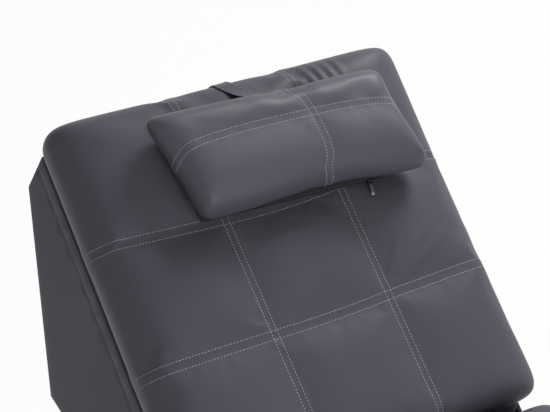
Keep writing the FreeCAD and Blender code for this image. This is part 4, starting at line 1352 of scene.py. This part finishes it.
@dataclass
class UpholsteredBase:
    """The base under a pad: a box covered in faux leather over thin foam, sewn round its upper edge."""

    section: Section
    lean: tuple[tuple[float, float], ...]
    free_end: bool = True
    round_edge: float = 0.012
    seam_height: float = -0.026
    seam_width: float = 0.002
    seam_depth: float = 0.0014
    lean_reach: float = 0.15
    cell: float = 0.022
    bulge: float = 0.0015
    ripple: float = 0.0006
    ripple_scale: float = 13.0
    recess: float = 0.003
    fill: float = 0.95
    cloth: float = 0.0005
    cloth_lift: float = 0.0006
    cloth_sag: float = 0.0009
    cloth_scale: float = 18.0
    cloth_cells: tuple[int, int] = (40, 20)
    hub_height: float = 0.019
    hub_inner: float = 0.245
    hub_outer: float = 0.270
    hub_depth: float = 0.019

    def __post_init__(self) -> None:
        """Find the base's box in its section's frame."""
        self.node = self.section.body + "_base_cover"
        self.low, self.high = extent(self.node, self.section.place)

    def marks(self, axis: int) -> list[float]:
        """Where the box is cut along one axis.

        Args:
            axis: 0, 1 or 2.

        Returns:
            The marks in order.
        """
        stops = []
        for share in (0.15, 0.4, 0.7, 1.0):
            stops += [self.low[axis] + share * self.round_edge, self.high[axis] - share * self.round_edge]
        if axis == 0:
            stops += [side * edge for side in (-1, 1) for edge in (self.hub_inner, self.hub_outer)]
        if axis == 2:
            stops += [self.seam_height + step * self.seam_width for step in (-1, 0, 1)]
            stops += [-self.hub_height, self.hub_height]
        return grid_marks(self.low[axis], self.high[axis], stops, self.cell)[1:-1]

    def lean_at(self, height: float) -> float:
        """How far the hinge end is set back at a height."""
        (first, start), (last, end) = self.lean
        return start + (end - start) * clamp((height - first) / (last - first), 0.0, 1.0)

    def shaped(self, point: Vector) -> Vector:
        """Where a point of the plain box lies on the upholstered base.

        Args:
            point: a point on the box.

        Returns:
            Its place.
        """
        soft = Vector((self.round_edge,) * 3)
        core = Vector([clamp(p, a, b) for p, a, b in zip(point, self.low + soft, self.high - soft)])
        out = (point - core).normalized()
        spot = core + out * self.round_edge
        below = abs(point.z - self.low.z) < HAIR
        if below and out.z < -1.0 + HAIR:
            spot.z += self.recess
        if abs(point.z - self.seam_height) < HAIR and abs(out.z) < HAIR:
            spot -= out * self.seam_depth
        drop = clamp((self.seam_height - point.z) / (self.seam_height - self.low.z), 0.0, 1.0)
        swell = self.bulge * math.sin(math.pi * drop) + self.ripple * noise.noise(point * self.ripple_scale)
        spot += Vector((out.x, out.y, 0.0)) * swell
        at_hub = abs(point.z) < self.hub_height + HAIR and \
            self.hub_inner - HAIR < abs(point.x) < self.hub_outer + HAIR
        if abs(point.y - self.low.y) < HAIR:
            spot.y += self.hub_depth if at_hub else 0.0
        elif not self.free_end and abs(point.y - self.high.y) < HAIR:
            spot.y -= self.hub_depth if at_hub else 0.0
        near = clamp(1.0 - (point.y - self.low.y) / self.lean_reach, 0.0, 1.0)
        spot.y += self.lean_at(point.z) * near
        return spot

    def cover(self) -> None:
        """Build the covered base."""
        bm = bmesh.new()
        slab(bm, self.low, self.high)
        for axis in range(3):
            slice_up(bm, axis, self.marks(axis))
        for vertex in bm.verts:
            vertex.co = self.shaped(vertex.co.copy())
        body = self.section.body
        # The base wears the side leather, whose colour is painted shade tuned to how its sides are lit.
        piece = Piece(body + "_base_upholstery", body, Slot.FAUX_LEATHER, (self.node,), SIDE_LEATHER_PAINTED_SHADE)
        piece.make(bm, self.section.place)

    def dust_cover(self) -> None:
        """Stretch the dust cover over the underside and staple it round its edge."""
        body, place = self.section.body, self.section.place
        node = body + "_dust_cover"
        low, high = extent(node, place)
        size = high - low
        columns, fewest = self.cloth_cells

        def laid(across: float, along: float) -> Vector:
            """The point at those shares across and along; the cloth sags between its edges."""
            spot = Vector((low.x + across * size.x, low.y + along * size.y, low.z))
            slack = 16.0 * across * (1.0 - across) * along * (1.0 - along)
            sag = self.cloth_sag * slack * (1.0 + noise.noise(spot * self.cloth_scale))
            return spot + UP * (self.cloth_lift + sag)

        bm = grid(columns, max(fewest, round(columns * size.y / size.x)), laid)
        bmesh.ops.reverse_faces(bm, faces=bm.faces)
        bmesh.ops.solidify(bm, geom=bm.faces[:], thickness=self.cloth)
        sheet = Piece(body + "_dust_cloth", body, Slot.DUST_CLOTH, (node,)).make(bm, place)
        pins = Piece(body + "_staples", body, Slot.ZINC_STEEL).make(self.staples(low, high), place)
        body + "_base_upholstery"

    def staples(self, low: Vector, high: Vector) -> bmesh.types.BMesh:
        """Staples round the edge of the dust cover.

        Args:
            low: the cover's lowest corner.
            high: the cover's highest corner.

        Returns:
            The staples as a bmesh.
        """
        pitch, inset, length, wire = 0.045, 0.007, 0.010, 0.0006
        bm = bmesh.new()
        for axis in (0, 1):
            for edge in (low[1 - axis] + inset, high[1 - axis] - inset):
                for mark in grid_marks(low[axis] + pitch / 2, high[axis] - pitch / 2, (), pitch):
                    middle = Vector((0.0, 0.0, low.z))
                    middle[axis], middle[1 - axis] = mark, edge
                    half = Vector((wire, wire, wire / 2))
                    half[axis] = length / 2
                    slab(bm, middle - half, middle + half)
        return bm

    def build(self) -> None:
        """Build the base and its dust cover."""
        self.cover()
        self.dust_cover()


@dataclass
class BodyCover:
    """The upholstered body that the back lies in: two cheeks and a rear panel."""

    back: Section
    edge: float = 0.0068
    seam_drop: float = 0.040
    seam_width: float = 0.002
    seam_depth: float = 0.0009
    cell: float = 0.03
    ripple: float = 0.0002
    ripple_scale: float = 11.0
    fill: float = 0.95

    def build(self) -> None:
        """Round the outer edges, sew a line along the cheeks' tops and soften the faces."""
        low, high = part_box("body_shell")
        face, rear = high[:2]

        def outside(edge: bmesh.types.BMEdge) -> bool:
            """Whether an edge borders an outer face."""
            on_cheek = all(abs(abs(vertex.co.x) - face) < HAIR for vertex in edge.verts)
            on_rear = all(abs(vertex.co.y - rear) < HAIR and abs(vertex.co.x) < face - self.edge
                          for vertex in edge.verts)
            return on_cheek or on_rear

        bm = soften("body_shell", self.edge, 4, outside)
        for axis in (1, 2):
            slice_up(bm, axis, grid_marks(low[axis], high[axis], (), self.cell)[1:-1])
        inwards = self.back.place.inverted()
        out = self.back.place.to_3x3() @ UP
        seam = extent("body_shell", self.back.place)[1].z - self.seam_drop
        for step in (-1, 0, 1):
            cut(bm, self.back.place @ Vector((0.0, 0.0, seam + step * self.seam_width)), out)
        for vertex in bm.verts:
            if abs(abs(vertex.co.x) - face) < HAIR:
                side = math.copysign(1.0, vertex.co.x)
                shift = self.ripple * noise.noise(vertex.co * self.ripple_scale)
                if abs((inwards @ vertex.co).z - seam) < HAIR:
                    shift -= self.seam_depth
                vertex.co.x += side * shift
        # The cheeks and rear panel wear the side leather, whose colour is painted shade tuned to how they are lit.
        cover = Piece("body_upholstery", "seat", Slot.FAUX_LEATHER, ("body_shell",), SIDE_LEATHER_PAINTED_SHADE).make(bm)


@dataclass
class Fittings:
    """Steel, plastic and chrome pieces that keep their CAD shape, with eased edges."""

    ease: tuple[tuple[float, str], ...] = (
        (0.002, "underframe_rail_left underframe_rail_right underframe_cross_tubes"),
        (0.001, "rail_end_caps"),
        (0.0015, "chair_leg_front_left chair_leg_front_right chair_leg_rear_left chair_leg_rear_right"),
        (0.002, "floor_glides"),
        (0.0008, "frame_bolts"),
        (0.0007, "hinge_pins"),
        (0.0006, "backrest_hinge_arms seat_recline_arms seat_legrest_arms legrest_hinge_arms"),
        (0.0006, "backrest_hinge_screws seat_hinge_screws legrest_hinge_screws"),
        (0.0009, "control_bezel"),
        (0.0005, "power_inlet"),
        (0.0006, "strap_patch"),
        (0.0003, "zip_slider zip_pull"),
        (0.001, "power_key mode_key stronger_key weaker_key timer_key control_box body_floor"),
    )

    def build(self) -> None:
        """Copy each node with its edges eased."""
        slots = Slot.of_nodes()
        bodies = frame["record"]["behaviour"]["bodies"]
        body_of = {node: body for body, nodes in bodies.items() for node in nodes}
        for width, names in self.ease:
            for node in names.split():
                Piece(node + "_eased", body_of[node], slots[node], (node,)).make(soften(node, width))


@dataclass
class KeySigns:
    """Raised signs on the five keys."""

    size: float = 0.0026
    line: float = 0.0007
    proud: float = 0.0003

    def bar(self, bm: bmesh.types.BMesh, place: Matrix, middle: Sequence[float],
            size: Sequence[float]) -> None:
        """Add one bar of a sign.

        Args:
            bm: takes the bar.
            place: the key's face.
            middle: the bar's middle on the face.
            size: its width and height.
        """
        low = (middle[0] - size[0] / 2, middle[1] - size[1] / 2, -self.proud)
        high = (middle[0] + size[0] / 2, middle[1] + size[1] / 2, self.proud)
        slab(bm, low, high, place)

    def ring(self, bm: bmesh.types.BMesh, place: Matrix) -> None:
        """Add a ring to a sign.

        Args:
            bm: takes the ring.
            place: the key's face.
        """
        ring = bmesh.new()
        corners = [ring.verts.new((self.size + across * self.line, 0.0, up * self.proud))
                   for across, up in ((-0.5, -1), (0.5, -1), (0.5, 1), (-0.5, 1))]
        edges = [ring.edges.new(pair) for pair in zip(corners, corners[1:] + corners[:1])]
        bmesh.ops.spin(ring, geom=corners + edges, cent=(0, 0, 0), axis=(0, 0, 1), dvec=(0, 0, 0),
                       angle=2.0 * math.pi, steps=28, use_merge=True, use_duplicate=False)
        bmesh.ops.remove_doubles(ring, verts=ring.verts, dist=HAIR / 10)
        bmesh.ops.recalc_face_normals(ring, faces=ring.faces)
        bmesh.ops.transform(ring, matrix=place, verts=ring.verts)
        mesh = bpy.data.meshes.new("ring")
        ring.to_mesh(mesh)
        ring.free()
        bm.from_mesh(mesh)
        bpy.data.meshes.remove(mesh)

    def build(self) -> None:
        """Print a sign on each key."""
        long, line = 2.0 * self.size, self.line
        bars = {
            "power": [((0.0, self.size), (line, self.size))],
            "mode": [((0.0, step * 1.6 * line), (long * 0.8, line)) for step in (-1, 0, 1)],
            "stronger": [((0.0, 0.0), (long, line)), ((0.0, 0.0), (line, long))],
            "weaker": [((0.0, 0.0), (long, line))],
            "timer": [((0.0, self.size * 0.35), (line, self.size * 0.7)),
                      ((self.size * 0.3, 0.0), (self.size * 0.6, line))],
        }
        for key, strokes in bars.items():
            low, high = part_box(key + "_key")
            face = Matrix(((0, 0, 1, high[0]), (1, 0, 0, (low[1] + high[1]) / 2),
                           (0, 1, 0, (low[2] + high[2]) / 2), (0, 0, 0, 1)))
            bm = bmesh.new()
            for middle, size in strokes:
                self.bar(bm, face, middle, size)
            if key in ("power", "timer"):
                self.ring(bm, face)
            Piece(key + "_sign", key + "_key", Slot.KEY_PLASTIC, (), KEY_PRINT).make(bm)


@dataclass
class PillowStrap:
    """The strap from the pillow's back edge over the head end to its patch."""

    back: Section
    cover: BVHTree
    middle: float = -0.006
    width: float = 0.026
    thickness: float = 0.0022
    clearance: float = 0.0004
    slant: float = 0.024
    start: tuple[float, float] = (0.597, 0.174)
    nose: tuple[float, float] = (0.5974, 0.0754)
    lead_turn: float = 1.0
    nose_end: float = -0.2
    face: float = 0.6521
    face_top: float = 0.0197
    end: float = -0.072
    step: float = 0.004
    bow: float = 0.004
    nose_steps: int = 8
    needle: Needle = Needle(0.006, 0.0045, 0.0006, 0.0006)
    thread_at: float = 0.42
    thread_rise: float = 0.0003

    def nose_radius(self, turn: float) -> float:
        """How far the strap's outer face lies from the middle of the pad's rounded head end.

        Args:
            turn: the direction, in radians up from the back's length.

        Returns:
            The distance.
        """
        way = Vector((0.0, math.cos(turn), math.sin(turn)))
        edges = [Vector((self.middle + share * self.width, *self.nose)) for share in (-0.5, 0.0, 0.5)]
        return max(self.cover.ray_cast(edge, way)[3] for edge in edges) + self.thickness + self.clearance

    def on_nose(self, turn: float) -> Vector:
        """The strap's point on the rounded head end in one direction."""
        way = Vector((0.0, math.cos(turn), math.sin(turn)))
        return Vector((0.0, *self.nose)) + way * self.nose_radius(turn)

    def leaving_turn(self) -> float:
        """The direction in which the strap leaves the rounded head end for the pillow.

        Returns:
            The direction from the head end's middle, in radians up from the back's length.
        """
        toward = Vector((0.0, *self.nose)) - Vector((0.0, *self.start))
        lead = math.atan2(toward.z, toward.y) + math.asin(self.nose_radius(self.lead_turn) / toward.length)
        return lead + math.pi / 2

    def route(self) -> list[Vector]:
        """The strap's path, from the pillow down to its end.

        Returns:
            Points in the back's frame, an even step apart.
        """
        start, first = Vector((0.0, *self.start)), self.leaving_turn()
        corners = [start]
        corners += [self.on_nose(first + (self.nose_end - first) * number / self.nose_steps)
                    for number in range(self.nose_steps + 1)]
        corners += [Vector((0.0, self.face, self.face_top)), Vector((0.0, self.face, self.end))]
        points, span = [], corners[1] - corners[0]
        for before, after in zip(corners, corners[1:]):
            count = max(1, round((after - before).length / self.step))
            points += [before.lerp(after, number / count) for number in range(count)]
        points.append(corners[-1])
        for point in points:
            share = clamp((point - start).dot(span) / span.length_squared, 0.0, 1.0)
            point.x = self.middle + self.slant * (1.0 - share)
            sag = self.bow * math.sin(math.pi * share)
            point += Vector((0.0, span.z, -span.y)).normalized() * sag
        return points

    def build(self) -> None:
        """Build the strap and its stitching."""
        path = self.route()

        def across(_: int, share: float) -> Vector:
            """A point of the strap's width."""
            return Vector(((share - 0.5) * self.width, 0.0, 0.0))

        bm = ribbon(path, across, 6)
        bm.normal_update()
        bm.faces.ensure_lookup_table()
        if sum(face.normal.y for face in bm.faces) < 0.0:
            bmesh.ops.reverse_faces(bm, faces=bm.faces)
        tree = BVHTree.FromBMesh(bm)
        thread = bmesh.new()
        for side in (-self.thread_at, self.thread_at):
            rows = []
            for point in path[2:]:
                hit, facing, _, _ = tree.find_nearest(point + Vector((side * self.width, 0.0, 0.0)))
                rows.append((hit + facing * self.thread_rise, facing))
            self.needle.sew(thread, rows)
        bmesh.ops.solidify(bm, geom=bm.faces[:], thickness=self.thickness)
        bmesh.ops.recalc_face_normals(bm, faces=bm.faces)
        strap = Piece("head_strap", "backrest", Slot.FAUX_LEATHER, ("pillow_strap",))
        stitches = Piece("head_strap_stitches", "backrest", Slot.FAUX_LEATHER, (), SEWING_THREAD)
        begin = self.back.place @ self.on_nose(self.leaving_turn())
        finish = self.back.place @ Vector((0.0, *self.start))
        for piece in (strap.make(bm, self.back.place, False), stitches.make(thread, self.back.place, False)):
            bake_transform(piece)


@dataclass
class PillowZip:
    """The zip along the pillow's lower edge: tape, teeth and the tip of the pull."""

    place: Matrix
    tape_ends: float = 0.004
    tape_sides: float = 0.003
    tape_front: float = 0.0008
    tape_back: float = 0.012
    tape_cell: float = 0.01
    pitch: float = 0.0026
    stagger: float = 0.0009
    tip_edge: float = 0.0008
    tooth: tuple[float, float, float] = (0.0016, 0.0020, 0.0034)
    tip: tuple[float, float, float] = (0.0058, 0.0055, 0.0026)
    tip_at: float = 0.0154
    droop: float = 20.0

    def build(self) -> None:
        """Build the tape, the teeth and the tip."""
        low, high = extent("zip_chain", self.place)
        tape = bmesh.new()
        slab(tape, (low.x - self.tape_ends, high.y - self.tape_front, low.z - self.tape_sides),
             (high.x + self.tape_ends, high.y + self.tape_back, high.z + self.tape_sides))
        slice_up(tape, 0, grid_marks(low.x, high.x, (), self.tape_cell))
        Piece("zip_tape", "pillow", Slot.BLACK_PLASTIC, (), Slot.DUST_CLOTH.value).make(tape, self.place)
        teeth = bmesh.new()
        middle = (low + high) / 2
        half = Vector(self.tooth) / 2
        for number, mark in enumerate(grid_marks(low.x + self.pitch, high.x - self.pitch, (), self.pitch)):
            side = self.stagger if number % 2 else -self.stagger
            spot = Vector((mark, low.y + half.y, middle.z + side))
            slab(teeth, spot - half, spot + half)
        Piece("zip_teeth", "pillow", Slot.BLACK_PLASTIC, ("zip_chain",)).make(teeth, self.place)
        pivot = self.place.inverted() @ Vector(joint("pull_flip")["pos_m"])
        hang = self.place @ Matrix.Translation(pivot) @ Matrix.Rotation(math.radians(self.droop), 4, "X")
        tip = bmesh.new()
        half = Vector(self.tip) / 2
        spot = Vector((0.0, -self.tip_at, 0.0))
        slab(tip, spot - half, spot + half)
        round_edges(tip, tip.edges[:], self.tip_edge)
        Piece("zip_pull_tip", "zip_pull", Slot.ZIP_METAL, (), PULL_TIP).make(tip, hang)


@dataclass
class HeadPillow:
    """The head pillow: stuffed, sewn crosswise and lengthwise, slumped, with a bead on two edges."""

    back: Section
    crosswise_at: float = 0.026
    lengthwise_at: float = 0.003
    arch: float = 0.028
    arch_reach: float = 0.045
    curl: tuple[float, float, float] = (0.0167, 0.004, -0.0187)
    dent: float = 0.008
    dent_rise: float = 0.003
    dent_reach: float = 0.08
    dent_depth: float = 0.4
    ear: float = 0.006
    band: float = 0.011
    edge_height: float = 0.034
    front_edge: float = 0.030
    back_edge: float = 0.040
    shear: float = 0.22
    splay: float = 0.14
    stitch_stop: float = 0.03
    top_trim: float = 0.002
    bead: float = 0.0011
    bead_step: float = 0.005

    def __post_init__(self) -> None:
        """Find the pillow's own frame from the zip's run along it."""
        across = Vector(joint("zip_run")["axis"]).normalized()
        out = self.back.place.to_3x3() @ UP
        turn = Matrix((across, out.cross(across), out)).transposed().to_4x4()
        low, high = extent("pillow", turn)
        middle = (low + high) / 2
        self.place = turn @ Matrix.Translation((middle.x, middle.y, low.z))
        self.low, self.high = extent("pillow", self.place)

    def curled(self, along: float) -> float:
        """The crosswise seam's shift: it bows to the right between the pillow's front and back.

        Args:
            along: where on the seam.

        Returns:
            The shift.
        """
        share = clamp(along / self.high.y, -1.0, 1.0)
        steady, slope, bend = self.curl
        return steady + slope * share + bend * share * share

    def slumped(self, point: Vector) -> Vector:
        """Set the edge's height, draw the front in at the seam, pull two corners out and shear the pillow.

        Args:
            point: a point of the pillow as laid.

        Returns:
            Its place after slumping.
        """
        share = clamp((point.y - self.low.y) / (self.high.y - self.low.y), 0.0, 1.0)
        aside = (point.x - self.crosswise_at - self.curled(self.low.y)) / self.dent_reach
        dent = math.exp(-aside * aside) * smooth_step(1.0 - share / self.dent_depth)
        pulled = self.ear * max(0.0, point.x / self.high.x * (1.0 - 2.0 * share)) ** 4
        point = point + Vector((math.copysign(pulled, point.x), self.dent * dent, 0.0))
        edge = self.front_edge + (self.back_edge - self.front_edge) * share + self.dent_rise * dent
        height = point.z - self.low.z
        if height < self.edge_height:
            height *= edge / self.edge_height
        else:
            top = self.high.z - self.low.z
            height = edge + (height - self.edge_height) * (top - edge) / (top - self.edge_height)
        shear = self.shear - self.splay * point.x
        return Vector((point.x - shear * point.y, point.y, self.low.z + height))

    def cushion(self) -> Cushion:
        """The pillow, ready to be filled."""
        inset = self.shear * self.high.y
        low = self.low + Vector((inset, 0.0, 0.0))
        high = self.high - Vector((inset, 0.0, self.top_trim))

        def arched(across: float) -> float:
            """The lengthwise seam's shift: it lies further back between the pillow's ends."""
            return self.arch * (1.0 - min(1.0, abs(across) / (high.x + self.arch_reach)) ** 3)

        seams = (Seam(Run.ACROSS, self.lengthwise_at, self.band, self.stitch_stop, arched),
                 Seam(Run.LENGTHWISE, self.crosswise_at, self.band, self.stitch_stop, self.curled))
        # The pillow wears a darker, glossier copy of the faux leather: its colour is painted shade.
        piece = Piece("head_pillow", "pillow", Slot.FAUX_LEATHER, ("pillow",), PILLOW_LEATHER_PAINTED_SHADE)
        roll = Vector((0.045, 0.07, high.z - low.z - self.edge_height))
        return Cushion(
            piece, self.place, low, high, roll, seams, depth=0.007, reach=0.07,
            under=self.edge_height, squareness=8.0, pull=0.003, cell=0.007, wall_cuts=11,
            swell=0.008, wall_swell=0.004, edge_hold=0.5, ease_rounds=12, ease_from=0.12, fill=0.8,
            warp=self.slumped)

    def bead_round(self, cushion: Cushion) -> None:
        """Sew a thin bead along the pillow's right end and its back edge.

        Args:
            cushion: the finished pillow.
        """
        height = cushion.low.z + self.edge_height
        corners = [(cushion.high.x, cushion.low.y), (cushion.high.x, cushion.high.y),
                   (cushion.low.x, cushion.high.y)]
        route = []
        for start, end in zip(corners, corners[1:]):
            count = round(math.dist(start, end) / self.bead_step)
            for step in range(count):
                across = start[0] + (end[0] - start[0]) * step / count
                along = start[1] + (end[1] - start[1]) * step / count
                route.append(Vector((across, along, height)))
        path = [spot for spot, _ in cushion.on_cover(route)]
        # The bead wears the pillow's copy of the leather, whose colour is painted shade.
        bead = Piece("head_pillow_bead", "pillow", Slot.FAUX_LEATHER, (), PILLOW_LEATHER_PAINTED_SHADE)
        bead.make(piping(path, self.bead), self.place)


@dataclass
class Stage:
    """Floor, light and camera."""

    azimuth: float = -28.365
    elevation: float = 36.173
    camera_at: tuple[float, float, float] = (-1.002, -1.3049, 2.1875)
    lens: float = 109.48
    floor_size: float = 14.0
    floor_paint: tuple[float, float, float, float] = (0.86, 0.86, 0.86, 1.0)
    floor_glow: float = 0.95
    ambient: float = 0.2

    def floor(self) -> None:
        """Lay a pale floor that is white to the camera and still takes a shadow."""
        bm = bmesh.new()
        bmesh.ops.create_grid(bm, x_segments=8, y_segments=8, size=self.floor_size / 2)
        floor = to_object("floor", bm)
        board = Board(bpy.data.materials.new("pale_floor"))
        paint = board.add("ShaderNodeBsdfDiffuse", None, {"Color": self.floor_paint})
        glow = board.add("ShaderNodeEmission", None, {"Color": WHITE, "Strength": 1.0})
        share = board.seen() * self.floor_glow
        mix = board.add("ShaderNodeMixShader", None, {0: share, 1: paint.outputs[0], 2: glow.outputs[0]})
        board.add("ShaderNodeOutputMaterial", None, {"Surface": mix.outputs[0]})
        floor.data.materials.append(board.owner)

    def sky(self) -> None:
        """Light the room evenly, with a white backdrop for the camera."""
        world = bpy.data.worlds.new("studio")
        bpy.context.scene.world = world
        board = Board(world)
        strength = board.seen() * (1.0 - self.ambient) + self.ambient
        glow = board.add("ShaderNodeBackground", None, {"Color": WHITE, "Strength": strength})
        board.add("ShaderNodeOutputWorld", None, {"Surface": glow.outputs[0]})

    def lamp(self, name: str, spot: Sequence[float], aim: Sequence[float], size: float, watts: float) -> None:
        """Hang one soft box.

        Args:
            name: the lamp's name.
            spot: where it hangs.
            aim: what it points at.
            size: its side.
            watts: its power.
        """
        data = bpy.data.lights.new(name, "AREA")
        data.size = size
        data.energy = watts
        lamp = put_in_scene(name, data)
        lamp.location = spot
        lamp.rotation_euler = (Vector(aim) - Vector(spot)).to_track_quat("-Z", "Y").to_euler()

    def camera(self) -> None:
        """Stand the camera at the photograph's viewing angle."""
        data = bpy.data.cameras.new("camera")
        data.lens = self.lens
        camera = put_in_scene("camera", data)
        camera.location = self.camera_at
        camera.rotation_euler = (math.radians(90.0 - self.elevation), 0.0, math.radians(self.azimuth))
        bpy.context.scene.camera = camera

    def build(self) -> None:
        """Set up everything round the object."""
        self.floor()
        self.sky()
        self.lamp("key", (1.6, 1.2, 2.6), (0.1, 0.6, 0.75), 1.0, 62.0)
        self.lamp("front", (-0.4, -2.5, 1.2), (0.0, 0.5, 0.6), 1.6, 44.0)
        self.camera()
        bpy.context.scene.view_settings.view_transform = "Standard"


def dress_nodes() -> None:
    """Give every CAD node that still shows the finish of its slot."""
    for name, slot in Slot.of_nodes().items():
        node = frame["nodes"][name]
        node.data.materials.clear()
        node.data.materials.append(PALETTE.get(slot.value))


HINGE_LEAN = ((0.0, 0.0), (0.0317, 0.012))
KNEE_LEAN = ((-0.0163, 0.0), (-0.1183, 0.046))
BASE_LEANS = {"backrest": HINGE_LEAN, "seat": HINGE_LEAN, "legrest": KNEE_LEAN}


def main() -> None:
    """Build the stage and every piece."""
    logging.basicConfig(level=logging.INFO, format="%(name)s: %(message)s")
    Stage().build()
    dress_nodes()
    sections = hinged_sections()
    pillow = HeadPillow(sections["backrest"])
    head = pillow.cushion()
    quilts = QuiltedPads(sections).all()
    fill_cushions([*quilts, head])
    pillow.bead_round(head)
    for body, lean in BASE_LEANS.items():
        UpholsteredBase(sections[body], lean, free_end=body != "seat").build()
    BodyCover(sections["backrest"]).build()
    Fittings().build()
    KeySigns().build()
    PillowStrap(sections["backrest"], quilts[0].tree).build()
    PillowZip(pillow.place).build()


if __name__ == "__main__":
    main()
